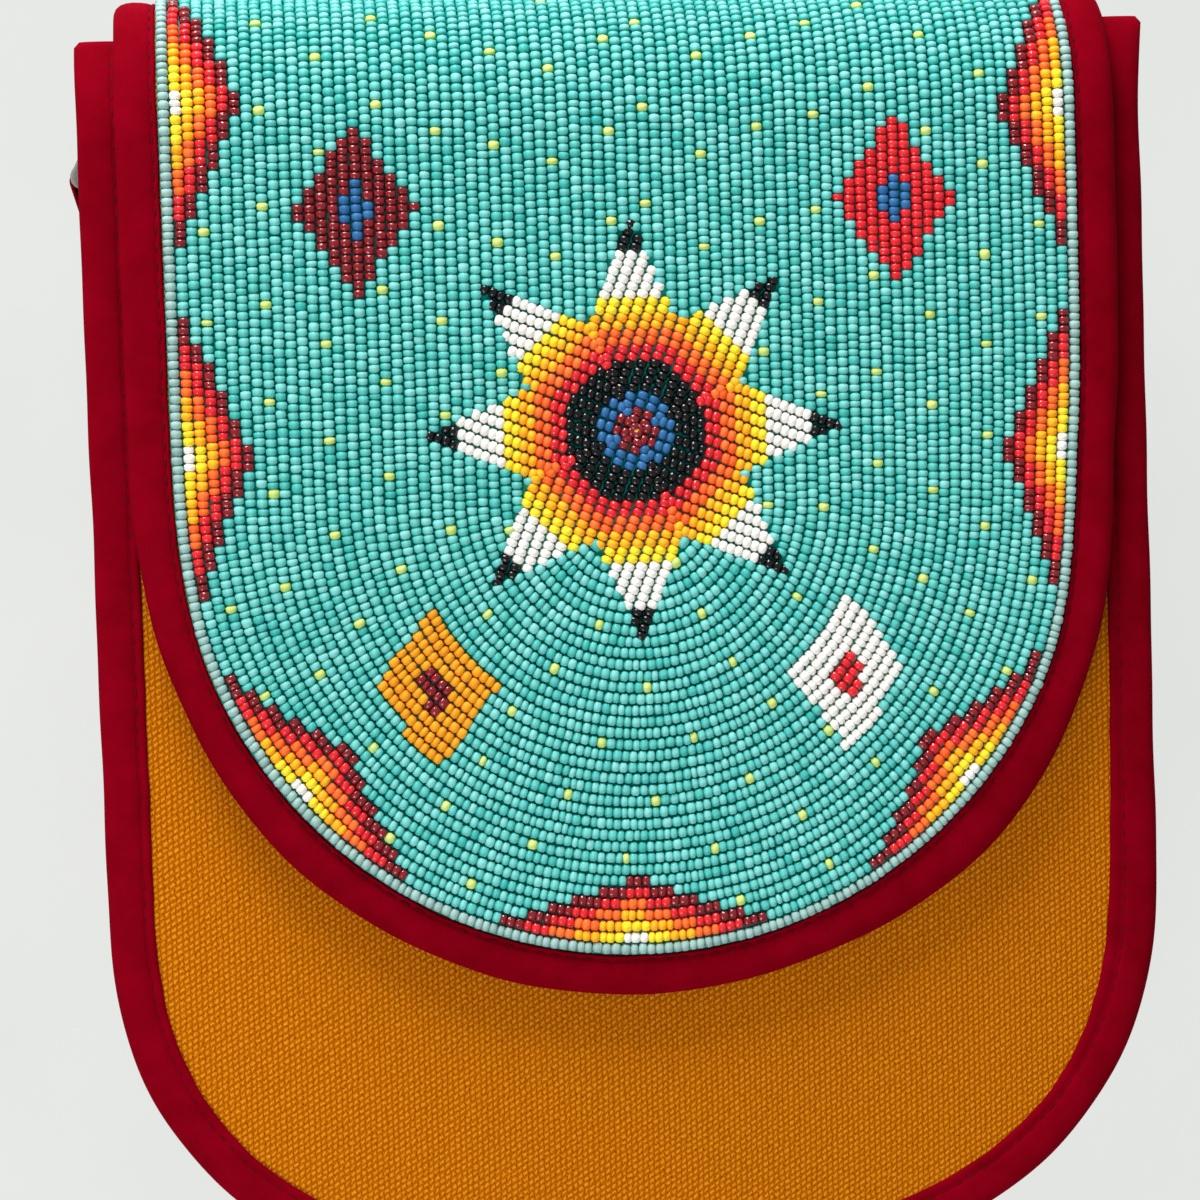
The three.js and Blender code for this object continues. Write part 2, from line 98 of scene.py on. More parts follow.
# Flap: heights count from its binding's underside
FLAP_LOW, FLAP_HIGH = box_mm("flap_binding")
FLAP_HALF = FLAP_HIGH[0]
FLAP_CENTRE = FLAP_LOW[1] + FLAP_HALF
FLAP_CANVAS_TOP = 4.0
FLAP_BASE = box_mm("flap_panel")[1][2] - FLAP_CANVAS_TOP
FLAP_LINING_FACE = 1.0
FLAP_LINING_CLOTH = 0.6
FLAP_EDGE = 5.0  # thickness of the flap's bound edge
FLAP_CROWN = 0.7  # how far the flap swells between its edges
FLAP_CROWN_REACH = 60.0  # length over which that swell comes in from its tip and from its fold
FLAP_CROWN_TOP = 20.0  # how far round the fold the swell goes
DRAWN_IN_RIGHT = 2.3  # how far the flap's sides draw in above its round end
DRAWN_IN_LEFT = 0.7
SNAP_Y = (box_mm("snap_stud")[0][1] + box_mm("snap_stud")[1][1]) / 2
SNAP_HOLD = 14.0  # how far round the snap the cloth is held flat

# The fold over the mouth: two quarter ellipses that meet at its highest line
FOLD_HEIGHT = 21.2
FOLD_FRONT = 14.0
FOLD_Z = FLAP_BASE - FOLD_FRONT
FOLD_BACK = FOLD_Z - BACK_FACE - FLAP_CANVAS_TOP
FOLD_Y = MOUTH - FOLD_HEIGHT * math.sqrt(1 - ((FRONT + 0.2 - FOLD_Z) / FOLD_FRONT) ** 2)
FOLD_TILT = 0.0135  # the flap is folded a little askew, so that its fold climbs to the right
FOLD_LIFT = 0.5  # how far over the mouth's bend the flap starts to bend
SEAM_ANGLE = math.radians(128)
TRIM_MARGIN = 3.0  # bare canvas between the seam and the beads and binding

# Beads of size 11/0, sewn in lanes that follow the flap's edge
LANES = 40
BEAD_REACH = box_mm("flap_beadwork")[1][0]
LANE_PITCH = BEAD_REACH / LANES
BEAD_PITCH = 1.49
BEAD_WIDTH = 2.06
BEAD_GAP = -0.02  # between two beads of a lane, which press together
BEAD_SIT = 5.16  # height of the beads' middle
BEAD_SIDES = 8
BEAD_SQUARENESS = 2.6  # superellipse exponent of its section
BEAD_SHADE = 0.45  # painted shade: how much the tone rises from a bead's darker side to its lighter crown
PIECE_LANES = 8  # lanes in one piece
LANE_END = 0.6  # from the end of the flap's trim to the end of a lane
LANE_STEP = 0.05  # in which a lane is searched for the star's outline
LANE_SQUEEZE = 0.35  # a lane gets one more bead if it lacks no more than this share of it
BEAD_LENGTHS = (0.1, 0.72, 1.3)  # spread, shortest and longest of a lane's beads, in pitches
# Spread of the beads' places, turns in radians and heights, and of their widths, lengths and tones
BEAD_STRAY, BEAD_SLANT, BEAD_RISE = 0.045, 0.06, 0.05
WIDTH_SPREAD, LENGTH_SPREAD, TONE_SPREAD = 0.022, 0.02, 0.055
BEAD_GROUND_FACE = 4.9  # height of the teal cloth that shows between the beads; its colour is painted shade and bounced light
BEAD_GROUND_CLOTH = 0.3

# The mouth, which bends in under the flap
FRONT_BEND = 30.0  # radius of the front's bend
FRONT_RISE = 7.0  # from the mouth's back corners up to the front's hem
TAIL_RISE = 11.8  # from the mouth's back corners up to the ends of the front's tape
TAIL_SPREAD = 3.0  # how far the right end of that tape leans out
TAIL_REACH = 20.0  # length over which it leans out
TILT_REACH = 30.0  # length over which the mouth takes on the fold's tilt

# Hidden cloth
LIP_HALF = 86.6  # half the width of the back's lip
LIP_TAPER = 6.0  # length over which the back narrows to its lip
GUSSET_WALL = 8.0  # from the body's edge to the gusset's wall
GUSSET_FLANGE = 2.6  # from a panel's outer side to the gusset's flange
FLANGE_INSET = 1.6  # from the body's edge to the flange's edge
GUSSET_SLACK = 0.55  # how far its wall sags in
LINING_INSET = 10.6
LINING_DEPTH = (3.4, 40.4)
LINING_SQUARENESS = 8  # superellipse exponent of the pouch's section
LINING_TOP = 0.6  # from the mouth down to the lining's seam
TAPE_END = 1.4  # length over which a tape's end is turned in

STITCH_PITCH = 3.1
STITCH_INSET = 6.5  # from a bound edge to its stitches
STITCH_LENGTH = 1.9
STITCH_THICKNESS = 0.42
STITCH_FURROW = 0.9  # half the width of the furrow that the stitches pull in the tape
STITCH_FURROW_DEPTH = 0.03
STITCH_PULL = 0.10  # how much deeper it is under each stitch
BODY_STITCH_DEPTH = 0.42  # how far the row of stitches lies under the tape's face
FLAP_STITCH_DEPTH = 0.3

CURVE_POINTS = 900  # along a curve as it is worked out
OUTLINE_POINTS = 1201  # along an edge that a panel's grid is fitted to

random = np.random.default_rng(11)
scene = bpy.context.scene


def srgb(code):
    """A colour written as sRGB hex, as the linear values that Blender takes."""
    values = np.array([int(code[i:i + 2], 16) for i in (0, 2, 4)]) / 255
    linear = np.where(values <= 0.04045, values / 12.92, ((values + 0.055) / 1.055) ** 2.4)
    return (*linear.tolist(), 1.0)


def clamp(value):
    """A value held between 0 and 1."""
    return np.clip(value, 0, 1)


def hump(value, middle, reach):
    """A smooth hump, 1 at its middle and about a third at its reach to each side."""
    return np.exp(-((value - middle) / reach) ** 2)


def unit(vectors):
    """Rows of vectors, each brought to a length of 1."""
    return vectors / np.linalg.norm(vectors, axis=1, keepdims=True)


def squared_reach(a, b, power):
    """1 on the outline of a superellipse, less inside it."""
    return (np.abs(a) ** power + np.abs(b) ** power) ** (1 / power)


def turned(x, y, angle):
    """A point or direction turned about the origin."""
    return x * np.cos(angle) - y * np.sin(angle), x * np.sin(angle) + y * np.cos(angle)


def spaced(points, count):
    """A line's points again, count of them at even steps, with the outward side and length at each."""
    steps = np.linalg.norm(np.diff(points, axis=0), axis=1)
    along = np.concatenate([[0], np.cumsum(steps)])
    at = np.linspace(0, along[-1], count)
    spots = np.column_stack([np.interp(at, along, column) for column in points.T])
    travel = unit(np.gradient(spots, axis=0))
    outward = np.column_stack([travel[:, 1], -travel[:, 0]])
    return spots, outward, at


def line_at(line, here):
    """The spot and the outward side at lengths along a line, each as its two columns."""
    spots, outward, at = line
    return [[np.interp(here, at, column) for column in part.T] for part in (spots, outward)]


def body_edge(count, top=MOUTH):
    """The body's outline: down the left side, round the bottom and up the right side."""
    turn = np.linspace(0, math.pi, 1200)
    across = -np.sign(np.cos(turn)) * np.abs(np.cos(turn)) ** (2 / BOTTOM_SQUARENESS)
    down = np.abs(np.sin(turn)) ** (2 / BOTTOM_SQUARENESS)
    curve_top = BOTTOM_CURVE_HEIGHT - MOUTH
    curve = np.column_stack([HALF_WIDTH * across, curve_top - BOTTOM_CURVE_HEIGHT * down])
    start, end = [[-HALF_WIDTH, top]], [[HALF_WIDTH, top]]
    return spaced(np.concatenate([start, curve, end]), count)


def fold_point(angle, height):
    """(y, z) on the fold, turned by an angle from the front, at a height over the flap's underside."""
    depth = np.where(angle < math.pi / 2, FOLD_FRONT, FOLD_BACK)
    lean = np.stack([depth * np.sin(angle), FOLD_HEIGHT * np.cos(angle)])
    lean = lean / np.hypot(*lean)
    y = FOLD_Y + FOLD_HEIGHT * np.sin(angle) + height * lean[0]
    z = FOLD_Z + depth * np.cos(angle) + height * lean[1]
    return y, z


FOLD_ANGLES = np.linspace(0, math.pi, CURVE_POINTS)
FOLD_ALONG = np.concatenate(
    [[0], np.cumsum(np.hypot(*np.diff(fold_point(FOLD_ANGLES, FLAP_CANVAS_TOP), axis=1)))]
)
SEAM_ALONG = np.interp(SEAM_ANGLE, FOLD_ANGLES, FOLD_ALONG)
SEAM_TAIL = FOLD_Y + SEAM_ALONG
TRIM_TAIL = SEAM_TAIL - TRIM_MARGIN


def off_snap(x, y):
    """Nothing at the snap, which holds the cloth flat, and 1 away from it."""
    return 1 - hump(np.hypot(x, y - SNAP_Y), 0, SNAP_HOLD)


def flap_lift(x, y):
    """How far the soft flap swells off its flat shape: nothing at its edges, its snap and its seam."""
    side = clamp(1 - (x / FLAP_HALF) ** 2)
    tip = clamp((y - FLAP_LOW[1]) / FLAP_CROWN_REACH)
    top = clamp((FOLD_Y + FLAP_CROWN_TOP - y) / FLAP_CROWN_REACH)
    wave = 1 + 0.35 * np.sin(0.055 * x + 0.031 * y) + 0.25 * np.sin(0.083 * y - 0.037 * x + 1.3)
    return FLAP_CROWN * side * tip * top * off_snap(x, y) * wave


def drawn_in(x, y):
    """How far to the right a point moves as the flap's sides draw in above its round end."""
    move = np.where(x > 0, -DRAWN_IN_RIGHT * hump(y, 28, 20), DRAWN_IN_LEFT * hump(y, 26, 12))
    return move * np.abs(x / FLAP_HALF) ** 3


def flap_place(x, y, height):
    """Lays a point of the flat flap on the bag: past the fold's line it turns over the mouth."""
    x, y, height = np.broadcast_arrays(np.asarray(x, float), y, height)
    tilt = FOLD_LIFT + FOLD_TILT * x
    along = np.maximum(y - FOLD_Y - tilt, 0) * SEAM_ALONG / (SEAM_ALONG - tilt)
    angle = np.interp(along, FOLD_ALONG, FOLD_ANGLES)
    over_y, over_z = fold_point(angle, height + flap_lift(x, y))
    settled = 0.5 - 0.5 * np.cos(math.pi * np.minimum(angle / SEAM_ANGLE, 1))
    over_y = np.minimum(y, FOLD_Y + tilt) + over_y - FOLD_Y - tilt * settled
    return np.stack([x + drawn_in(x, y), over_y, over_z], axis=-1)


def flap_edge(count, tail=TRIM_TAIL):
    """The flat flap's edge: down the left side, round the tip and up the right side."""
    turn = np.linspace(math.pi, 2 * math.pi, CURVE_POINTS)
    curve = np.column_stack([np.cos(turn), np.sin(turn)]) * FLAP_HALF + [0, FLAP_CENTRE]
    return spaced(np.concatenate([[[-FLAP_HALF, tail]], curve, [[FLAP_HALF, tail]]]), count)


def ripple(along, seed, lengths, size):
    """A smooth uneven line: a few sine waves of those lengths with drawn phases."""
    phases = np.random.default_rng(seed).uniform(0, 2 * math.pi, len(lengths))
    waves = [np.sin(2 * math.pi * along / length + phase) for length, phase in zip(lengths, phases)]
    return size * sum(waves) / len(lengths)


def rumple(a, b, seed, length, size):
    """Soft unevenness of a cloth over its two directions a and b."""
    draw = np.random.default_rng(seed)
    total = 0
    for _ in range(7):
        turn, phase = draw.uniform(0, 2 * math.pi, 2)
        stretch = draw.uniform(0.6, 1.6) * 2 * math.pi / length
        total = total + np.sin(stretch * (a * math.cos(turn) + b * math.sin(turn)) + phase)
    return size * total / 3


# Meshes
def grid_mesh(across, along, place):
    """A grid of across by along faces. place(u, v), where u and v run from 0 to 1, gives the columns of the
    corners' places and those of their spots on the flat cloth, which the weave follows."""
    bm = bmesh.new()
    bmesh.ops.create_grid(bm, x_segments=across, y_segments=along, size=0.5)
    u, v = np.array([vert.co[:2] for vert in bm.verts]).T + 0.5
    spots, cloth = [np.column_stack(columns) for columns in place(clamp(u), clamp(v))]
    layer = bm.verts.layers.float_vector.new("cloth")
    for vert, spot, flat in zip(bm.verts, spots * MM, cloth):
        vert.co = spot
        vert[layer] = (*flat, 0)
    return bm


def finished(name, bm, material, body, node=None, thickness=0.0, weld=0.0, closed=False):
    """Makes a piece of a bmesh: welds it, turns its faces out, thickens it and puts it on its body."""
    if weld:
        bmesh.ops.remove_doubles(bm, verts=bm.verts[:], dist=weld * MM)
    if closed:
        bmesh.ops.holes_fill(bm, edges=bm.edges[:], sides=0)
        bmesh.ops.recalc_face_normals(bm, faces=bm.faces[:])
    if thickness:
        bm.normal_update()
        bmesh.ops.solidify(bm, geom=bm.faces[:], thickness=thickness * MM)
    mesh = bpy.data.meshes.new(name)
    bm.to_mesh(mesh)
    bm.free()
    return shown(name, mesh, [material], body, node)


def shown(name, mesh, materials, body, node=None):
    """Puts a mesh in the scene as a piece on its body, in the place of its CAD node."""
    mesh.shade_smooth()
    for material in materials:
        mesh.materials.append(material)
    piece = bpy.data.objects.new(name, mesh)
    scene.collection.objects.link(piece)
    if body:
        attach(piece, body)
    if node:
        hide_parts(node)
    return piece


def spun(profile, steps):
    """A turned shape about the Z axis, from (radius, level) corners that start and end on it."""
    bm = bmesh.new()
    verts = [bm.verts.new((radius, 0, level)) for radius, level in profile]
    edges = [bm.edges.new(pair) for pair in zip(verts, verts[1:])]
    bmesh.ops.spin(
        bm, geom=verts + edges, cent=(0, 0, 0), axis=(0, 0, 1),
        angle=2 * math.pi, steps=steps, use_merge=True,
    )
    bmesh.ops.remove_doubles(bm, verts=bm.verts[:], dist=1e-5)
    bmesh.ops.recalc_face_normals(bm, faces=bm.faces[:])
    return bm


def tiled(name, template, middle, across, up, along, tone=None, kinds=None):
    """One mesh of many copies of a small turned shape, each at its middle with its own scaled directions.
    Its tone carries painted shade: it rises from the darker side that lies on the cloth to the lighter one
    that faces out."""
    corners = np.array([vert.co for vert in template.verts])
    template.verts.index_update()
    faces = [[vert.index for vert in face.verts] for face in template.faces]
    axes = np.stack([across, up, along], axis=1)
    spots = middle[:, None] + np.einsum("ck,nkd->ncd", corners, axes)
    count = len(corners)
    copies = [[corner + count * i for corner in face] for i in range(len(middle)) for face in faces]
    mesh = bpy.data.meshes.new(name)
    mesh.from_pydata((spots.reshape(-1, 3) * MM).tolist(), [], copies)
    if tone is not None:
        # painted shade: a corner's tone rises with its height on the bead, darker at the side and lighter at
        # the crown
        shaded_tones = tone[:, None] + BEAD_SHADE * corners[:, 1]
        mesh.attributes.new("tone", "FLOAT", "POINT").data.foreach_set("value", shaded_tones.ravel())
    if kinds is not None:
        mesh.polygons.foreach_set("material_index", np.repeat(kinds, len(faces)))
    return mesh


# Materials
PLAIN_SHARE = 0.93  # how much of the paper's look is its plain colour


def add_node(tree, kind, inputs=None, stops=(), **settings):
    """Adds a shader node with its settings and, on a colour ramp, its stops of a position and an sRGB colour.
    Its inputs are set or linked by name or number, and a node is linked by its first output."""
    node = tree.nodes.new("ShaderNode" + kind)
    for key, value in settings.items():
        setattr(node, key, value)
    for position, _ in stops[2:]:
        node.color_ramp.elements.new(position)
    for i, (position, code) in enumerate(stops):
        element = node.color_ramp.elements[i]
        element.position = position
        element.color = srgb(code)
    for key, value in (inputs or {}).items():
        if isinstance(value, bpy.types.Node):
            value = value.outputs[0]
        if isinstance(value, bpy.types.NodeSocket):
            tree.links.new(value, node.inputs[key])
        else:
            node.inputs[key].default_value = value
    return node


def new_material(name):
    """A material with an empty node tree, and what adds a node to that tree."""
    material = bpy.data.materials.new(name)
    material.use_nodes = True
    material.node_tree.nodes.clear()
    return material, partial(add_node, material.node_tree)


def surfaced(material, add, kind, inputs):
    """Adds the shader that a material ends in, links it to the output and gives the material back."""
    add("OutputMaterial", {"Surface": add(kind, inputs)})
    return material


def thread_phase(add, warp, weft, wander):
    """The spot on the flat cloth, and how far it lies along the warp and weft threads, which wander: half a
    turn from one thread to the next, with the threads' distances in millimetres."""
    cloth = add("Attribute", attribute_name="cloth").outputs["Vector"]
    drift = add("TexNoise", {"Vector": cloth, "Scale": 0.9, "Detail": 2.0})
    scaled = add("VectorMath", {0: cloth, 1: (math.pi / warp, math.pi / weft, 0)}, operation="MULTIPLY")
    inputs = {0: drift.outputs["Color"], 1: (wander, wander, 0), 2: scaled}
    moved = add("VectorMath", inputs, operation="MULTIPLY_ADD")
    phase = add("SeparateXYZ", {0: moved}).outputs
    return cloth, phase[0], phase[1]


def duck_canvas(name, stops, roughness):
    """Heavy plain-woven cotton duck: columns of thick warp threads that rise in staggered, slanting bumps
    where their twist shows, with painted shade darkening the grooves and pits between them, and uneven yarn."""
    material, add = new_material(name)
    cloth, warp, weft = thread_phase(add, warp=1.0, weft=0.57, wander=3.0)
    twice = add("Math", {0: warp, 1: 2.0}, operation="MULTIPLY")
    twist = add("Math", {0: twice}, operation="SINE")
    slanted = add("Math", {0: twist, 1: -0.9, 2: weft}, operation="MULTIPLY_ADD")
    along = add("Math", {0: slanted}, operation="COSINE")
    across = add("Math", {0: warp}, operation="COSINE")
    crossing = add("Math", {0: across, 1: along}, operation="MULTIPLY")
    column = add("Math", {0: across}, operation="ABSOLUTE")
    round_column = add("Math", {0: column, 1: 0.7}, operation="POWER")
    rise = add("Math", {0: crossing, 1: 0.8, 2: round_column}, operation="MULTIPLY_ADD")
    height = add("MapRange", {0: rise, 1: -0.3, 2: 1.7})
    slub = add("TexNoise", {"Vector": cloth, "Scale": 2.0, "Detail": 4.0, "Roughness": 0.7})
    uneven = add("Math", {0: slub, 1: 1.1, 2: -0.54}, operation="MULTIPLY_ADD")
    # painted shade: the colour follows the weave's height, darker in its grooves and pits, with the slub's
    # own uneven yarn added
    shade = add("Math", {0: height, 1: uneven}, use_clamp=True)
    colour = add("ValToRGB", {"Fac": shade}, stops)
    bump = add("Bump", {"Height": shade, "Strength": 0.85, "Distance": 0.25 * MM})
    inputs = {"Base Color": colour, "Roughness": roughness, "Normal": bump, "Specular IOR Level": 0.03}
    return surfaced(material, add, "BsdfPrincipled", inputs)


def cotton_tape(name, deep, light):
    """Folded cotton bias tape, finely woven and smooth: a matt saturated colour with soft uneven dye, and
    painted shade a little darker in the weave's hollows.
    """
    material, add = new_material(name)
    cloth, warp, weft = thread_phase(add, warp=0.34, weft=0.34, wander=1.2)
    across = add("Math", {0: warp}, operation="COSINE")
    along = add("Math", {0: weft}, operation="COSINE")
    height = add("Math", {0: across, 1: along}, operation="MULTIPLY")
    dye = add("TexNoise", {"Vector": cloth, "Scale": 0.12, "Detail": 5.0, "Roughness": 0.6})
    # painted shade: the weave's hollows a little darker, added to the dye's own uneven tone
    dye_and_shade = add("Math", {0: height, 1: 0.11, 2: dye}, operation="MULTIPLY_ADD")
    colour = add("ValToRGB", {"Fac": dye_and_shade}, [(0.24, deep), (0.74, light)])
    bump = add("Bump", {"Height": height, "Strength": 0.25, "Distance": 0.04 * MM})
    inputs = {"Base Color": colour, "Roughness": 0.8, "Normal": bump, "Specular IOR Level": 0.01}
    return surfaced(material, add, "BsdfPrincipled", inputs)


def bead_glass(name, codes, roughness, sparkle=0.2, shine=0.16, at=(0.25, 0.6, 1.0)):
    """Seed-bead glass: each bead has its own depth of colour, painted darker at its sides and lighter at its
    crown as shade, and its moulded skin a shine that is soft on opaque glass and breaks into sparkles on
    clear dark glass."""
    material, add = new_material(name + "_bead_glass")
    # the tone is each bead's own depth of colour plus the painted shade from its side to its crown
    tone = add("Attribute", attribute_name="tone").outputs["Fac"]
    colour = add("ValToRGB", {"Fac": tone}, list(zip(at, codes.split())))
    place = add("TexCoord").outputs["Object"]
    skin = add("TexNoise", {"Vector": place, "Scale": 1.6 / MM, "Detail": 2.0})
    bump = add("Bump", {"Height": skin, "Strength": sparkle, "Distance": 0.12 * MM})
    inputs = {"Base Color": colour, "Roughness": roughness, "Normal": bump, "Specular IOR Level": shine}
    return surfaced(material, add, "BsdfPrincipled", inputs)


def sewing_thread(name, deep, light):
    """Twisted cotton sewing thread: matt, a little darker in its twist."""
    material, add = new_material(name)
    place = add("TexCoord").outputs["Object"]
    fibre = add("TexNoise", {"Vector": place, "Scale": 3.0 / MM, "Detail": 3.0})
    colour = add("ValToRGB", {"Fac": fibre}, [(0.3, deep), (0.7, light)])
    inputs = {"Base Color": colour, "Roughness": 0.85, "Specular IOR Level": 0.1}
    return surfaced(material, add, "BsdfPrincipled", inputs)


def nickel_plate(name):
    """Nickel-plated steel, barrel polished: a warm grey mirror with tumbling marks and dull patches, drawn
    coarser than real marks, which are too fine to show."""
    material, add = new_material(name)
    place = add("TexCoord").outputs["Object"]
    marks = add("TexNoise", {"Vector": place, "Scale": 0.5 / MM, "Detail": 6.0})
    colour = add("ValToRGB", {"Fac": marks}, [(0.3, "80807C"), (0.7, "ACACA8")])
    dull = add("MapRange", {0: marks, 3: 0.22, 4: 0.42})
    inputs = {"Base Color": colour, "Metallic": 1.0, "Roughness": dull}
    return surfaced(material, add, "BsdfPrincipled", inputs)


def table_paper(name):
    """Plain pale paper. Its tooth is too fine to show, so it is drawn as broad faint clouds. What the camera
    and mirrors see of it is mostly its plain colour, so that the bag's shadow on it stays light."""
    material, add = new_material(name)
    place = add("TexCoord").outputs["Object"]
    tooth = add("TexNoise", {"Vector": place, "Scale": 0.02 / MM, "Detail": 4.0})
    colour = add("ValToRGB", {"Fac": tooth}, [(0.3, "E4E6E3"), (0.7, "E7E9E6")])
    paper = add("BsdfDiffuse", {"Color": colour})
    plain = add("Emission", {"Color": colour})
    ray = add("LightPath").outputs
    seen = add("Math", {0: ray["Is Camera Ray"], 1: ray["Is Glossy Ray"]}, use_clamp=True)
    seen = add("Math", {0: seen, 1: ray["Is Transmission Ray"]}, use_clamp=True)
    share = add("Math", {0: seen, 1: PLAIN_SHARE}, operation="MULTIPLY")
    return surfaced(material, add, "MixShader", {0: share, 1: paper, 2: plain})


OCHRE_CANVAS = duck_canvas(
    "ochre_duck_canvas", [(0.0, "6C2A00"), (0.25, "B05800"), (0.6, "CC7404"), (1.0, "E3931E")], 0.9
)
CRIMSON_TAPE = cotton_tape("crimson_bias_tape", "70000D", "880017")
LINING_COTTON = cotton_tape("garnet_lining_cotton", "5E0C14", "7A1420")
# painted shade and bounced light: the teal of the cloth between the beads stands for the shade and coloured
# light there
BEAD_GROUND_GAP_SHADE = cotton_tape("teal_bead_ground_gap_shade_cotton", "0E9084", "1EA89C")
# painted shade: the thread is coloured darker than the tape, for the shade of the furrow it is sewn into
CRIMSON_THREAD = sewing_thread("crimson_sewing_thread", "500009", "680010")
NICKEL = nickel_plate("nickel_plated_steel")
PAPER = table_paper("pale_table_paper")

# Each ramp's low stops colour a bead's shaded sides and its high stops its lighter crown, so the ramps also
# paint shade
BEAD_GLASSES = {
    "turquoise": bead_glass("turquoise", "06887E 14A096 46B6AE 84D6D0", 0.26, at=(0.25, 0.5, 0.78, 1.0)),
    "pale": bead_glass("pale_turquoise", "5A706A 7EA09A A2C8C2", 0.3),
    "lime": bead_glass("lime_yellow", "8CA84C B4D062 D4E688", 0.32),
    "white": bead_glass("cream_white", "BCB8AC E6E4DA FAF8F2", 0.34, at=(0.25, 0.55, 0.9)),
    "yellow": bead_glass("yellow", "DC9600 FCC814 FFF03A", 0.34),
    "amber": bead_glass("amber", "DC7400 FA9E0C FFC02A", 0.34),
    "orange": bead_glass("orange", "CC2400 F04A10 FF7C38", 0.32),
    "red": bead_glass("red", "A40006 C8101C EA2C34", 0.16, 0.8, 0.4),
    "garnet": bead_glass("garnet", "480206 680A12 8C1822", 0.13, 0.9, 0.6),
    "black": bead_glass("black", "000002 101012", 0.13, 0.9, 0.4, at=(0.25, 0.9)),
    "blue": bead_glass("blue", "06305A 1C5488 3A74AA", 0.28),
    "gold": bead_glass("golden", "BE6800 E08A14 FAAA24", 0.3),
}


# Cloth panels
def half_outline(edge, inset):
    """The left half of a mirrored outline, from its lowest point up to its top, moved in."""
    spots, outward, _ = edge
    middle = len(spots) // 2
    left = (spots - outward * inset)[middle::-1]
    left[0, 0] = 0
    return left


def chord_rows(left, u, v):
    """Points of a mirrored panel in rows from side to side: u across and v up along its edge."""
    at = np.linspace(0, 1, len(left))
    half = -np.interp(v, at, left[:, 0])
    return (2 * u - 1) * half, np.interp(v, at, left[:, 1])


def from_body_edge(x, y):
    """About how far inside the body's outline a point lies."""
    curve_top = BOTTOM_CURVE_HEIGHT - MOUTH
    down = np.clip((curve_top - y) / BOTTOM_CURVE_HEIGHT, 0, None)
    reach = squared_reach(x / HALF_WIDTH, down, BOTTOM_SQUARENESS)
    return (1 - reach) * (BOTTOM_CURVE_HEIGHT + HALF_WIDTH) / 2


def mouth_bend(x, y, z):
    """Bends the body's top in under the flap: its front falls back, its back leans forward."""
    above = np.maximum(y - FOLD_Y - FOLD_TILT * x, 0)
    share = clamp(z / FRONT)
    front = above ** 2 / (2 * FRONT_BEND)
    back = FOLD_BACK * (1 - np.sqrt(1 - np.clip((y - FOLD_Y) / FOLD_HEIGHT, 0, 0.9) ** 2))
    lean = clamp(above / TAIL_REACH) ** 2
    x = x + TAIL_SPREAD * lean * (x > 0) * share * clamp(np.abs(x) / HALF_WIDTH) ** 8
    y = y + FOLD_TILT * x * clamp(above / TILT_REACH)
    return x, y, z - share * front + (1 - share) * back


def front_canvas():
    """The front, which swells a little between its edges and bends in at the mouth."""
    left = half_outline(body_edge(OUTLINE_POINTS, MOUTH + FRONT_RISE), EDGE_INSET)

    def place(u, v):
        x, y = chord_rows(left, u, v)
        swell = clamp(from_body_edge(x, y) / FRONT_CROWN_REACH)
        swell = swell * clamp((FOLD_Y - y) / FRONT_CROWN_REACH)
        z = PANEL_FACE + swell * off_snap(x, y) * (FRONT_CROWN + rumple(x, y, 3, 46, 0.12))
        return mouth_bend(x, y, z), (x, y)

    bm = grid_mesh(72, 110, place)
    piece = finished(
        "front_canvas", bm, OCHRE_CANVAS, "bag", "front_panel", CANVAS, weld=0.01
    )


def back_canvas():
    """The back, which rests on its crowned middle, and its lip that runs up to the flap's seam."""
    side = half_outline(body_edge(OUTLINE_POINTS), EDGE_INSET)
    side = side[side[:, 1] < FOLD_Y - LIP_TAPER]
    lip_tail = FOLD_Y + FOLD_ALONG[-1] - SEAM_ALONG
    lip = np.array([[-LIP_HALF, FOLD_Y], [-LIP_HALF, lip_tail]])
    left, _, _ = spaced(np.concatenate([side, lip]), CURVE_POINTS)

    def place(u, v):
        x, y = chord_rows(left, 1 - u, v)
        angle = np.interp(FOLD_ALONG[-1] - np.maximum(y - FOLD_Y, 0), FOLD_ALONG, FOLD_ANGLES)
        over_y, z = fold_point(angle, FLAP_CANVAS_TOP)
        inside = np.minimum(from_body_edge(x, y), FOLD_Y - y)
        crown = clamp((inside - BACK_CROWN_MARGIN) / BACK_CROWN_SLOPE)
        z = z - BACK_FACE * crown * crown * (3 - 2 * crown)
        return (x, np.minimum(y, FOLD_Y) + over_y - FOLD_Y, z), (x, y)

    bm = grid_mesh(64, 130, place)
    piece = finished("back_canvas", bm, OCHRE_CANVAS, None, "back_panel", CANVAS, weld=0.01)
    bend_at_seam(piece)


def bend_at_seam(piece):
    """Bakes a canvas piece's place into its mesh."""
    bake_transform(piece)


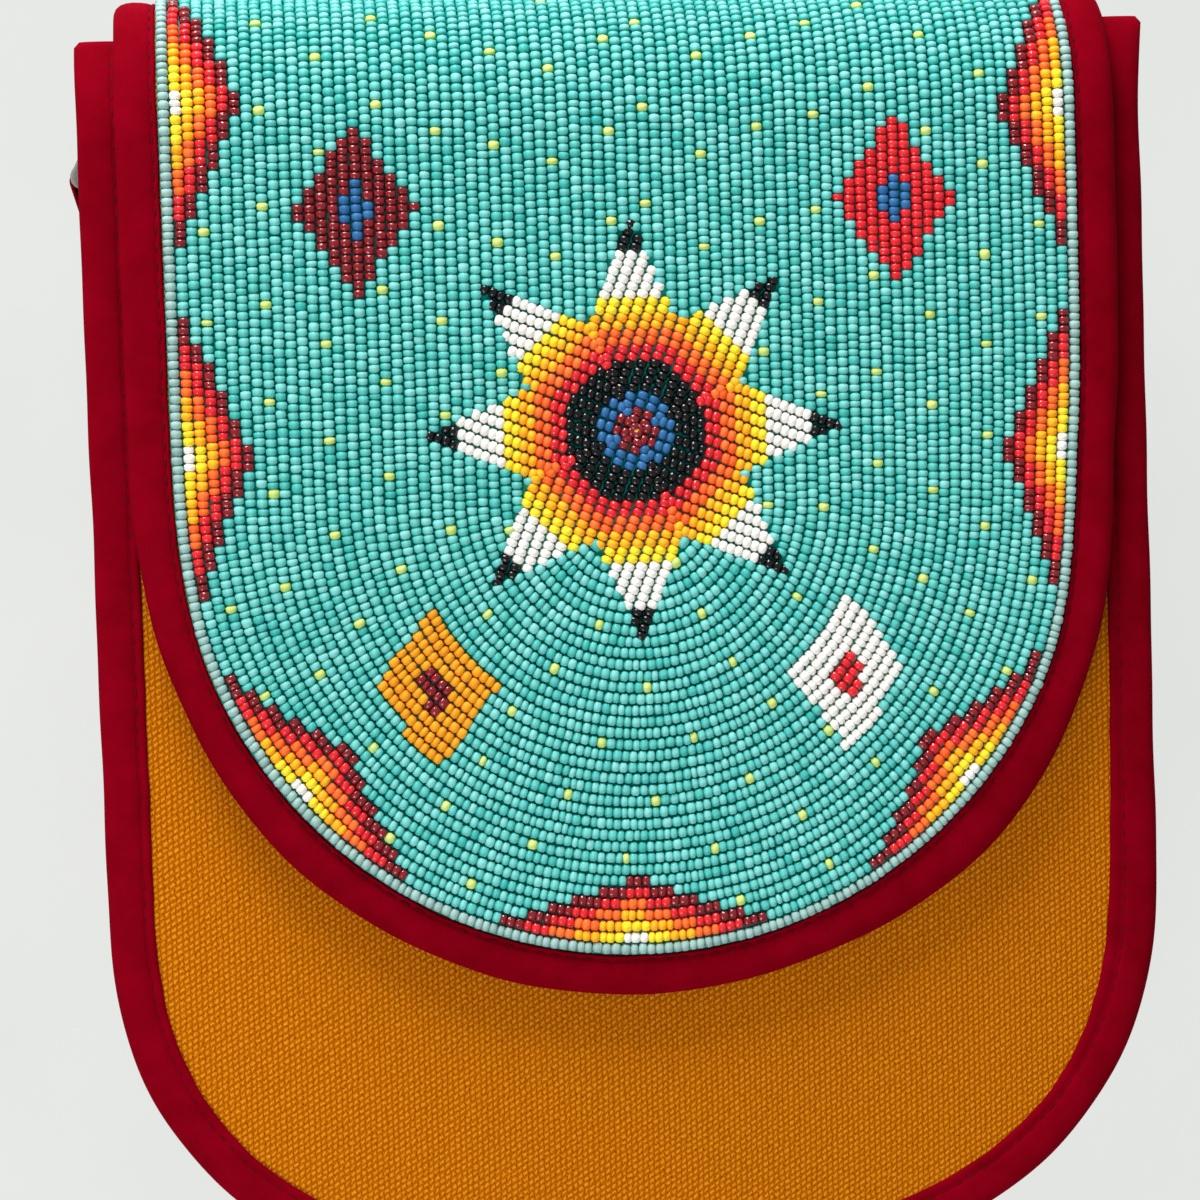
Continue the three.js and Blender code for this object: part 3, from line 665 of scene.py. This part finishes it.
def gusset_canvas():
    """The strip that gives the bag its depth, with a flange turned out along each panel."""
    edge = body_edge(260, MOUTH + FRONT_RISE)
    at = edge[2]
    flange = GUSSET_FLANGE + GUSSET_CLOTH
    lower = np.array([  # half its section, as (inset, level), from the wall to the flange's edge
        (GUSSET_WALL, flange + 2.2), (GUSSET_WALL - 0.6, flange + 0.6), (GUSSET_WALL - 2.2, flange),
        (FLANGE_INSET, flange),
    ])
    upper = (lower * [1, -1] + [0, FRONT])[::-1]
    section = spaced(np.concatenate([upper, lower]), 41)
    around = section[2]

    def place(u, v):
        (inset, z), _ = line_at(section, u * around[-1])
        here = v * at[-1]
        slack = clamp((z - flange) * (FRONT - flange - z) / 300)
        inset = inset + slack * (GUSSET_SLACK + rumple(here, 2.2 * z, 5, 34, 0.4)).clip(0, 1.3)
        (x, y), (out_x, out_y) = line_at(edge, here)
        x, y = x - out_x * inset, y - out_y * inset
        y = y - FRONT_RISE * (1 - z / FRONT) * clamp((y - FOLD_Y) / 14)
        return mouth_bend(x, y, z), (u * around[-1], here)

    bm = grid_mesh(34, 200, place)
    piece = finished("gusset_canvas", bm, OCHRE_CANVAS, "bag", "gusset", GUSSET_CLOTH)


def lining_pouch():
    """The cotton pouch inside, open at the mouth, with slack folds in its walls."""
    left = half_outline(body_edge(OUTLINE_POINTS, MOUTH - LINING_TOP), LINING_INSET)
    low, high = LINING_DEPTH
    middle, deep = (low + high) / 2, (high - low) / 2

    def place(u, v):
        half, y = chord_rows(left, np.ones_like(u), v)
        turn = -2 * math.pi * u
        reach = 1 / squared_reach(np.cos(turn), np.sin(turn), LINING_SQUARENESS)
        slack = clamp(v * 6) * clamp((1 - v) * 5)
        reach = reach - slack * rumple(half * np.cos(turn), y + 30 * np.sin(turn), 8, 52, 0.014).clip(0, None)
        sewn = clamp((y - FOLD_Y) / 6)
        x = (half + 1.0 * sewn) * reach * np.cos(turn)
        z = middle + (deep + 0.8 * sewn) * reach * np.sin(turn)
        y = y + FRONT_RISE * sewn * z / FRONT
        around = 2 * (HALF_WIDTH * 2 + deep * 2) * u
        return mouth_bend(x, y, z), (around, v * 220)

    bm = grid_mesh(104, 66, place)
    piece = finished(
        "lining_pouch", bm, LINING_COTTON, "bag", "lining", LINING_CLOTH, weld=0.01
    )


def flap_cloth(name, node, inset, face, thickness, tail, material, side=1):
    """A cloth layer of the flap with its face at a height, turned up (side 1) or down (side -1)."""
    left = half_outline(flap_edge(OUTLINE_POINTS, tail), inset)

    def place(u, v):
        x, y = chord_rows(left, u if side > 0 else 1 - u, v)
        return flap_place(x, y, face).T, (x, y)

    bm = grid_mesh(56, 120, place)
    return finished(name, bm, material, None, node, thickness, weld=0.01)


def flap_layers():
    """The flap's canvas, the lining under it and a teal cloth under the beads, whose colour is painted shade
    and bounced light between them.
    """
    canvas = flap_cloth(
        "flap_canvas", "flap_panel", EDGE_INSET, FLAP_CANVAS_TOP, CANVAS,
        SEAM_TAIL, OCHRE_CANVAS,
    )
    bend_at_seam(canvas)
    lining = flap_cloth(
        "flap_lining_cotton", "flap_lining", EDGE_INSET, FLAP_LINING_FACE, FLAP_LINING_CLOTH,
        TRIM_TAIL, LINING_COTTON, side=-1,
    )
    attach(lining, "flap")
    ground = flap_cloth(
        "bead_ground", None, FLAP_HALF - BEAD_REACH, BEAD_GROUND_FACE, BEAD_GROUND_CLOTH,
        TRIM_TAIL - 0.4, BEAD_GROUND_GAP_SHADE,
    )
    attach(ground, "flap")


# Bound edges: tape folded round the cloth
TAPE_FACE = np.array([  # a leg's face from its sewn lip to the fold: inset from the fold, level over the face
    (7.40, -0.50), (7.34, -0.16), (7.05, 0.00), (6.78, -0.06), (6.50, -0.28), (6.22, -0.05), (5.90, 0.04),
    (4.80, 0.13), (3.40, 0.16), (2.20, 0.06), (1.20, -0.25), (0.45, -0.85), (0.08, -1.60),
])


def tape_section(thickness):
    """The folded tape's outline as (inset, level): the upper leg, the lower leg and the inside."""
    upper = TAPE_FACE + [0, thickness]
    lower = (TAPE_FACE * [1, -1])[::-1]
    inside = np.array([(7.3, TAPE), (TAPE + 0.1, TAPE + 0.8)])
    inside = np.concatenate([inside, (inside * [1, -1] + [0, thickness])[::-1]])
    return np.concatenate([upper, lower, inside])


def bound_edge(name, node, body, edge, thickness, lay, seed, widen=None, lip=None):
    """Folded tape along an edge. lay(x, y, level) puts a point of the flat edge in its place. widen gives how
    much further out its fold lies, and lip how much further in its upper leg reaches past the stitches."""
    at = edge[2]
    section = tape_section(thickness)
    sides = len(section)
    around = np.concatenate([[0], np.cumsum(np.linalg.norm(np.diff(section, axis=0), axis=1)), [0]])

    def place(u, v):
        corner = np.rint(u * sides).astype(int)
        inset, level = section[corner % sides].T
        here = v * at[-1]
        upper = np.where(level > thickness / 2, 1, -1)
        sewn = hump(inset, STITCH_INSET, STITCH_FURROW)
        pull = 0.5 - 0.5 * np.cos(2 * math.pi * here / STITCH_PITCH)
        level = level - upper * sewn * (STITCH_PULL * pull + STITCH_FURROW_DEPTH)
        level = level + upper * 0.5 * rumple(here, 3 * inset, seed, 24, 0.10) * clamp(inset / 3)
        outer = 1 - inset / TAPE_WIDTH
        if lip is not None:
            past = clamp((inset - STITCH_INSET) / STITCH_FURROW) * (upper > 0)
            inset = inset + lip(here - at[-1] / 2) * past
        inset = inset + ripple(here, seed, (61, 37, 23), 0.16) * outer
        inset = inset + ripple(here, seed + 1, (29, 17, 9), 0.12) * (1 - outer)
        if widen is not None:
            inset = inset - widen(here - at[-1] / 2) * outer
        end = clamp(np.minimum(here, at[-1] - here) / TAPE_END)
        turned_in = 1 - np.sqrt(1 - (1 - end) ** 2)
        inset = inset + turned_in * 0.9 * outer
        level = thickness / 2 + (level - thickness / 2) * (1 - 0.25 * turned_in)
        (x, y), (out_x, out_y) = line_at(edge, here)
        long = np.hypot(out_x, out_y)
        spot = lay(x - out_x / long * inset, y - out_y / long * inset, level)
        return spot.T, (around[corner], here)

    bm = grid_mesh(sides, len(at) - 1, place)
    finished(name, bm, CRIMSON_TAPE, body, node, weld=0.005, closed=True)


def uneven_flap_tape(here):
    """The flap's tape was laid wider at its lower right and narrower at its left."""
    turn = np.degrees(here / FLAP_HALF)
    right_side = hump(turn, 84, 9) + 0.3 * clamp((turn - 90) / 20)
    return right_side + 1.7 * hump(turn, 45, 15) - 0.9 * hump(turn, -68, 12)


def uneven_front_tape(here):
    """The front's tape was laid wider on its right, most of all at the lower right."""
    return 0.75 + 0.4 / (1 + np.exp(-here / 25)) + hump(here, 125, 28)


STITCH = spun([(0, -1), (0.65, -0.85), (1, -0.4), (1, 0.4), (0.65, 0.85), (0, 1)], 6)


def stitches(name, body, middle, along, up):
    """A row of stitches, each a short thread along its seam."""
    along = unit(along)
    across = np.cross(up, along)
    thick = STITCH_THICKNESS / 2
    mesh = tiled(
        name, STITCH, middle, across * thick, np.cross(along, across) * thick, along * STITCH_LENGTH / 2
    )
    shown(name, mesh, [CRIMSON_THREAD], body, None)


def edge_stitches(name, body, edge, level, lay):
    """The row of stitches along a bound edge, at a level of its tape."""
    count = int(edge[2][-1] / STITCH_PITCH)
    here = (np.arange(count) + 0.5) * STITCH_PITCH
    (x, y), (out_x, out_y) = line_at(edge, here)
    x, y = x - out_x * STITCH_INSET, y - out_y * STITCH_INSET
    middle = lay(x, y, level)
    up = lay(x, y, level + 1.0) - middle
    along = np.gradient(middle, axis=0)
    stitches(name, body, middle, along, up)


def body_lay(base):
    """Puts points of a body panel's flat edge at their level over a base."""
    return lambda x, y, level: np.stack(mouth_bend(*np.broadcast_arrays(x, y, base + level)), axis=-1)


def bound_edges():
    """The tapes of the front, the back and the flap, each with the row of stitches that shows."""
    for side, base, rise, lip, seam, seed in (
        ("front", FRONT - BODY_EDGE, TAIL_RISE, uneven_front_tape, BODY_EDGE - BODY_STITCH_DEPTH, 5),
        ("back", 0.0, 0.0, None, BODY_STITCH_DEPTH, 4),
    ):
        edge = body_edge(500, MOUTH + rise)
        lay = body_lay(base)
        bound_edge(side + "_tape", side + "_binding", "bag", edge, BODY_EDGE, lay, seed, lip=lip)
        edge_stitches(side + "_tape_stitches", "bag", edge, seam, lay)
    flap = flap_edge(640)
    bound_edge(
        "flap_tape", "flap_binding", "flap", flap, FLAP_EDGE, flap_place, 21, widen=uneven_flap_tape
    )
    edge_stitches("flap_tape_stitches", "flap", flap, FLAP_EDGE - FLAP_STITCH_DEPTH, flap_place)


# Beadwork
BEAD = spun([(0, -1), (0.62, -1), (1, -0.5), (1, 0.5), (0.62, 1), (0, 1)], BEAD_SIDES)
for vert in BEAD.verts:
    x, y, _ = vert.co
    squared = squared_reach(x, y, BEAD_SQUARENESS)
    if squared > 0:
        vert.co.xy *= math.hypot(x, y) / squared
BEAD_COLOURS = list(BEAD_GLASSES)
FIRE = ["white", "yellow", "amber", "orange", "red", "garnet"]
FIRE_PLACES = (-194, -133, -70, -3, 67, 130, 191)  # along the second lane, from its lowest point
FIRE_STEP = 3  # beads in each step of its stairs
STAR_MIDDLE = np.array([0.0, FLAP_CENTRE + 12])
STAR_SIDE = 20.8  # side of each of its eight rhombi
STAR_ROWS = 7
STAR_BEADS = 14  # in a row
STAR_BANDS = [  # from its middle to its points
    "garnet", "blue", "black", "black", "red", "orange", "amber", "yellow", "white", "white", "white",
    "black", "black",
]
STAR_CLEAR = -0.3  # from the star's outline to the end of a lane, which is squeezed against it
DIAMONDS = [  # middle from the flap's centre, and colours from its middle out
    ((-48, 52), ("blue", "garnet", "garnet")), ((48, 52), ("blue", "red", "red")),
    ((-37, -32), ("garnet", "gold", "gold")), ((37, -32), ("red", "white", "white")),
]
DIAMOND_HALF = (11.0, 15.0)
ACCENT_FIRST = 3  # the first lane with accents
ACCENT_LANES = 5  # from one lane with accents to the next
ACCENT_BEADS = 11  # from one accent to the next


def star_edge(x, y):
    """How far a point lies outside the star's outline, less than nothing inside."""
    x, y = x - STAR_MIDDLE[0], y - STAR_MIDDLE[1]
    half = math.pi / 8
    turn = (np.arctan2(y, x) + half) % (2 * half) - half
    far = np.hypot(x, y)
    tip = 2 * STAR_SIDE * math.cos(half)
    return math.sin(half) * (far * np.cos(turn) - tip) + math.cos(half) * far * np.abs(np.sin(turn))


def lane_path(radius, s):
    """A lane's flat place and direction at a length s from its lowest point, to the right if positive."""
    turn = np.clip(s / radius, -math.pi / 2, math.pi / 2)
    rise = np.maximum(np.abs(s) - radius * math.pi / 2, 0)
    x = radius * np.sin(turn)
    y = FLAP_CENTRE - radius * np.cos(turn) + rise
    return x, y, np.cos(turn), np.sin(turn)


def lane_colours(lane, radius, s, x, y):
    """The colour of each bead of a lane: fire triangles at the edge, diamonds, accents and the ground."""
    colours = np.full(len(s), "pale" if lane == 0 else "turquoise", dtype=object)
    beads = np.arange(len(s)) - len(s) // 2
    if lane % ACCENT_LANES == ACCENT_FIRST:
        shift = ACCENT_BEADS // 2 * (lane // ACCENT_LANES % 2)
        colours[(beads + shift) % ACCENT_BEADS == 0] = "lime"
    for (across, up), bands in DIAMONDS:
        reach = np.abs(x - across) / DIAMOND_HALF[0] + np.abs(y - FLAP_CENTRE - up) / DIAMOND_HALF[1]
        for band, colour in enumerate(bands):
            colours[(reach >= band / 3) & (reach < (band + 1) / 3)] = colour
    outer = BEAD_REACH - 1.5 * LANE_PITCH
    quarter = math.pi / 2
    for place in FIRE_PLACES:
        middle = radius * min(abs(place) / outer, quarter) + max(abs(place) - outer * quarter, 0)
        away = np.abs(np.rint((s - math.copysign(middle, place)) / BEAD_PITCH))
        step = lane - 1 + np.ceil(np.maximum(away - FIRE_STEP // 2, 0) / FIRE_STEP)
        for level, colour in enumerate(FIRE):
            colours[(step == level) & (lane > 0)] = colour
    return colours


def lane_beads(lane):
    """Flat places, directions and colours of a lane's beads, which stop at the star's outline."""
    radius = BEAD_REACH - (lane + 0.5) * LANE_PITCH
    reach = radius * math.pi / 2 + TRIM_TAIL - FLAP_CENTRE - LANE_END
    fine = np.arange(-reach, reach, LANE_STEP)
    x, y, _, _ = lane_path(radius, fine)
    clear = np.concatenate([[False], star_edge(x, y) > STAR_CLEAR, [False]])
    turns = np.flatnonzero(np.diff(clear.astype(int)))
    found = []
    for first, last in zip(turns[::2], turns[1::2]):
        length = (last - first) * LANE_STEP
        count = int(length / BEAD_PITCH + LANE_SQUEEZE)
        if count:
            spread, shortest, longest = BEAD_LENGTHS
            ends = np.cumsum(np.append(0, random.normal(1, spread, count).clip(shortest, longest)))
            found.append(fine[first] + ends * length / ends[-1])
    s = np.concatenate([(ends[1:] + ends[:-1]) / 2 for ends in found])
    long = np.concatenate([np.diff(ends) for ends in found])
    x, y, to_x, to_y = lane_path(radius, s)
    return x, y, to_x, to_y, long, lane_colours(lane, radius, s, x, y)


def star_beads():
    """Flat places, directions and colours of the star's beads, in rows along its eight rhombi.
    One more bead fills the corner that each row leaves where two rhombi meet at a slant."""
    found = [(*STAR_MIDDLE, 1.0, 0.0, "gold")]
    for point in range(8):
        turns = [math.pi / 4 * (point + half) for half in (-0.5, 0.5)]
        first, second = [np.array([math.cos(turn), math.sin(turn)]) for turn in turns]
        if point % 2:
            first, second = second, first
        for row in range(STAR_ROWS):
            for bead in range(STAR_BEADS):
                along, over = (bead + 0.5) / STAR_BEADS, (row + 0.5) / STAR_ROWS
                spot = STAR_MIDDLE + STAR_SIDE * (along * first + over * second)
                found.append((*spot, *first, STAR_BANDS[int(along * STAR_ROWS) + row]))
            if point % 2:
                filler = STAR_MIDDLE + STAR_SIDE * (row + 0.25) / STAR_ROWS * second
                found.append((*filler, *second, STAR_BANDS[row]))
    x, y, to_x, to_y = np.array([bead[:4] for bead in found]).T
    long = np.full(len(found), STAR_SIDE / STAR_BEADS)
    return x, y, to_x, to_y, long, np.array([bead[4] for bead in found], dtype=object)


def sew_beads(name, x, y, to_x, to_y, long, colours):
    """Beads laid on the flap, each with its own small unevenness of place, turn, size and colour."""
    count = len(x)
    x = x + random.normal(0, BEAD_STRAY, count)
    y = y + random.normal(0, BEAD_STRAY, count)
    turn = random.normal(0, BEAD_SLANT, count)
    to_x, to_y = turned(to_x, to_y, turn)
    sit = BEAD_SIT + random.normal(0, BEAD_RISE, count)
    middle = flap_place(x, y, sit)
    along = unit(flap_place(x + 0.1 * to_x, y + 0.1 * to_y, sit) - middle)
    up = flap_place(x, y, sit + 0.1) - middle
    across = unit(np.cross(along, up))
    up = np.cross(across, along)
    wide = BEAD_WIDTH / 2 * random.normal(1, WIDTH_SPREAD, (count, 1))
    long = (long[:, None] - BEAD_GAP) / 2 * random.normal(1, LENGTH_SPREAD, (count, 1))
    kinds = np.array([BEAD_COLOURS.index(colour) for colour in colours])
    tone = random.normal(0.5, TONE_SPREAD, count)
    mesh = tiled(name, BEAD, middle, across * wide, up * wide, along * long, tone, kinds)
    shown(name, mesh, list(BEAD_GLASSES.values()), "flap", "flap_beadwork")


def beadwork():
    """All the beads: the lanes from the flap's edge inwards, a few to a piece, and then the star."""
    for first in range(0, LANES, PIECE_LANES):
        lanes = [lane_beads(lane) for lane in range(first, first + PIECE_LANES)]
        parts = [np.concatenate(part) for part in zip(*lanes)]
        sew_beads(f"bead_lanes_{first // PIECE_LANES + 1}", *parts)
    sew_beads("star_beads", *star_beads())


# Rings, tabs and snap
RING_WIRE = 3.2
RING_CORNER = 2.4  # bend radius at the ends of the bar
RING_CORNER_FULLNESS = 0.35  # how much thicker the wire is at the bar's two ends
RING_LEG = 4.0
RING_BOW = 11.6  # radius of the bow's middle line
RING_LEAN = {"left": 21.0, "right": 8.3}  # degrees towards the gusset
TAB_LOOP = 1.92  # radius of the tab's middle line round the bar
TAB_SLANT = 30.0  # from the bar down to where the tab lies on the gusset
TAB_SEWN = 18.0  # length sewn flat on the gusset
TAB_CLOTH = 0.5
TAB_CLOSING = 40.0  # degrees between its layers where they close below the bar
TAB_GAP = 0.06  # between its two layers
TAB_LIFT = 1.1  # from the gusset's wall to the middle of the sewn tab
TAB_WIDTH = 17.6
TAB_SEAM_INSET = 1.6  # from the tab's edges to its seam
TAB_SEAM_TOP = 2.0  # from where the tab leaves the gusset down to its seam
TAB_STITCH_PITCH = 2.4


def arc(centre, radius, first, last, count):
    """Points on an arc between two angles in degrees."""
    turn = np.radians(np.linspace(first, last, count))
    return np.column_stack([centre[0] + radius * np.cos(turn), centre[1] + radius * np.sin(turn)])


def d_ring(side, outward):
    """Round wire bent to a D: it lies against the gusset, with its bar in the tab's loop."""
    bar = joint_place(f"ring_{side}_swing")
    corner = RING_BOW - RING_CORNER
    path = np.concatenate([
        [(0, 0)], arc((corner, RING_CORNER), RING_CORNER, -90, 0, 9),
        arc((0, RING_CORNER + RING_LEG), RING_BOW, 0, 180, 40),
        arc((-corner, RING_CORNER), RING_CORNER, 180, 270, 9), [(0, 0)],
    ])
    spots, out, at = spaced(path, 97)
    out[0] = out[-1] = (0, -1)
    lean = outward * math.radians(RING_LEAN[side])

    def place(u, v):
        wire = 2 * math.pi * u
        (z, up), (out_z, out_up) = line_at((spots, out, at), v * at[-1])
        full = hump(np.abs(z), RING_BOW - 0.7, 0.9) * hump(up, 0, 3.0)
        thick = RING_WIRE / 2 * (1 + RING_CORNER_FULLNESS * full)
        across = thick * np.cos(wire)
        x = thick * np.sin(wire)
        y = up + out_up * across
        x, y = turned(x, y, lean)
        return (bar[0] + x, bar[1] + y, bar[2] + z + out_z * across), (u * 10, v * at[-1])

    bm = grid_mesh(16, 96, place)
    finished(
        "ring_wire_" + side, bm, NICKEL, "ring_" + side, "d_ring_" + side, weld=0.01, closed=True
    )


def ring_tab(side, outward):
    """A doubled strip of tape sewn on the gusset: its outer layer runs straight up to the ring's bar and
    round it, and the inner layer closes on it below the bar."""
    bar = joint_place(f"ring_{side}_swing")
    lift = abs(bar[0]) - (HALF_WIDTH - GUSSET_WALL)
    apart = (TAB_CLOTH + TAB_GAP) / 2
    foot = np.array([TAB_LIFT - lift, -TAB_SLANT])
    outer_foot, inner_foot = foot + [apart, 0], foot - [apart, 0]
    slope = math.atan2(outer_foot[1], outer_foot[0])
    first = slope + math.acos(TAB_LOOP / np.hypot(*outer_foot))
    closing = math.radians(TAB_CLOSING)
    last = first + math.pi + closing
    loop_end = TAB_LOOP * np.array([math.cos(last), math.sin(last)])
    to_stem = (TAB_LOOP * (1 + math.cos(closing)) - 2 * apart) / math.sin(closing)
    meeting = loop_end + to_stem * np.array([-math.sin(last), math.cos(last)])
    path = np.concatenate([
        [outer_foot - [0, TAB_SEWN], outer_foot],
        arc((0, 0), TAB_LOOP, math.degrees(first), math.degrees(last), 28),
        [meeting, inner_foot, inner_foot - [0, TAB_SEWN]],
    ])
    spots, out, at = spaced(path, 181)
    section = np.concatenate([spots + out * TAB_CLOTH / 2, (spots - out * TAB_CLOTH / 2)[::-1]])
    along_tape = np.concatenate([at, at[::-1]])
    sides = len(section)

    def place(u, v):
        corner = np.rint(u * sides).astype(int) % sides
        over, y = section[corner].T
        z = (v - 0.5) * TAB_WIDTH + ripple(along_tape[corner], 31, (19, 11), 0.18) * np.sign(v - 0.5)
        return (bar[0] + outward * over, bar[1] + y, bar[2] + z), (v * TAB_WIDTH, along_tape[corner])

    bm = grid_mesh(sides, 8, place)
    finished(
        "ring_tab_tape_" + side, bm, CRIMSON_TAPE, "bag", "ring_tab_" + side,
        weld=0.005, closed=True,
    )
    sewn_face = foot[0] + apart + TAB_CLOTH / 2
    tab_stitches(side, outward, bar + [outward * (sewn_face + 0.05), foot[1], 0])


def tab_stitches(side, outward, foot):
    """The seam that holds a tab on the gusset: a square with its two diagonals."""
    low, high = TAB_SEAM_INSET - TAB_SEWN, -TAB_SEAM_TOP
    half = TAB_WIDTH / 2 - TAB_SEAM_INSET
    corners = np.array([(low, -half), (high, -half), (high, half), (low, half)])
    middle, along = [], []
    for first, second in ((0, 1), (1, 2), (2, 3), (3, 0), (0, 2), (3, 1)):
        way = corners[second] - corners[first]
        count = round(np.linalg.norm(way) / TAB_STITCH_PITCH)
        for i in range(count):
            middle.append(foot + [0, *(corners[first] + way * (i + 0.5) / count)])
            along.append([0, *way])
    up = np.tile([float(outward), 0, 0], (len(middle), 1))
    stitches("ring_tab_stitches_" + side, "bag", np.array(middle), np.array(along, float), up)


def snap():
    """The magnetic snap's two turned halves, with their rims rounded over."""
    socket = [
        (0, -2.6), (2, -2.6), (2, 0), (8.7, 0), (9, 0.25), (9, 0.9), (8.6, 1.5), (7.6, 1.9), (6.0, 2.0),
        (3.6, 2.0), (3.25, 1.85), (3.2, 1.6), (3.2, 0.9), (3.0, 0.7), (0, 0.7),
    ]
    stud = [
        (0, -1.3), (2.0, -1.3), (2.4, -1.1), (2.5, -0.8), (2.5, -0.15), (2.75, 0), (6.6, 0), (7.7, 0.12),
        (8, 0.35), (7.9, 0.6), (2, 0.6), (2, 2.2), (0, 2.2),
    ]
    for name, node, body, profile, base in (
        ("snap_socket_shell", "snap_socket", "bag", socket, FRONT - 0.8),
        ("snap_stud_shell", "snap_stud", "flap", stud, FLAP_BASE + 0.2),
    ):
        bm = spun(profile, 48)
        bmesh.ops.translate(bm, verts=bm.verts[:], vec=(0, SNAP_Y, base))
        bmesh.ops.scale(bm, verts=bm.verts[:], vec=(MM, MM, MM))
        piece = finished(name, bm, NICKEL, body, node)
        piece.data.set_sharp_from_angle(angle=math.radians(40))
    for node in ("snap_socket_washer", "snap_stud_washer"):
        frame["nodes"][node].data.materials.clear()
        frame["nodes"][node].data.materials.append(NICKEL)


front_canvas()
back_canvas()
gusset_canvas()
lining_pouch()
flap_layers()
bound_edges()
beadwork()
for side, outward in (("left", -1), ("right", 1)):
    d_ring(side, outward)
    ring_tab(side, outward)
snap()


# Floor, light and camera
PHOTO_SIZE = 1200  # pixels
FOCAL_PIXELS = 2783
CAMERA_PLACE = (-64.9, 41.7, 540.8)
CAMERA_TURN = (-2.50, -6.80, -1.91)  # degrees about X, Y and Z
FLOOR_HALF = 1500.0
FLOOR_DROP = 0.3  # keeps it just under the bag's back
SKY = 0.38  # strength of the even light from all round

bm = bmesh.new()
bmesh.ops.create_grid(bm, x_segments=8, y_segments=8, size=FLOOR_HALF * MM)
bmesh.ops.translate(bm, verts=bm.verts[:], vec=(0, 0, -FLOOR_DROP * MM))
floor = finished("floor", bm, PAPER, None)

world = bpy.data.worlds.new("soft_studio")
world.use_nodes = True
sky = world.node_tree.nodes["Background"].inputs
sky["Color"].default_value = srgb("FFFFFF")
sky["Strength"].default_value = SKY
scene.world = world


def soft_light(name, place, size, power):
    """A square lamp that faces the bag's middle."""
    lamp = bpy.data.lights.new(name, "AREA")
    lamp.shape = "SQUARE"
    lamp.size = size
    lamp.energy = power
    light = bpy.data.objects.new(name, lamp)
    light.location = place
    light.rotation_euler = (Vector((0, 0, 0.03)) - light.location).to_track_quat("-Z", "Y").to_euler()
    scene.collection.objects.link(light)


soft_light("window_light", (-0.2, 0.84, 0.30), 0.4, 11.3)
soft_light("front_light", (-0.36, -0.48, 0.6), 0.4, 3.7)

camera = bpy.data.objects.new("camera", bpy.data.cameras.new("camera"))
camera.data.sensor_width = 36
camera.data.lens = camera.data.sensor_width * FOCAL_PIXELS / PHOTO_SIZE
camera.location = Vector(CAMERA_PLACE) * MM
camera.rotation_euler = [math.radians(turn) for turn in CAMERA_TURN]
scene.collection.objects.link(camera)
scene.camera = camera
scene.view_settings.view_transform = "Standard"

bpy.context.view_layer.update()
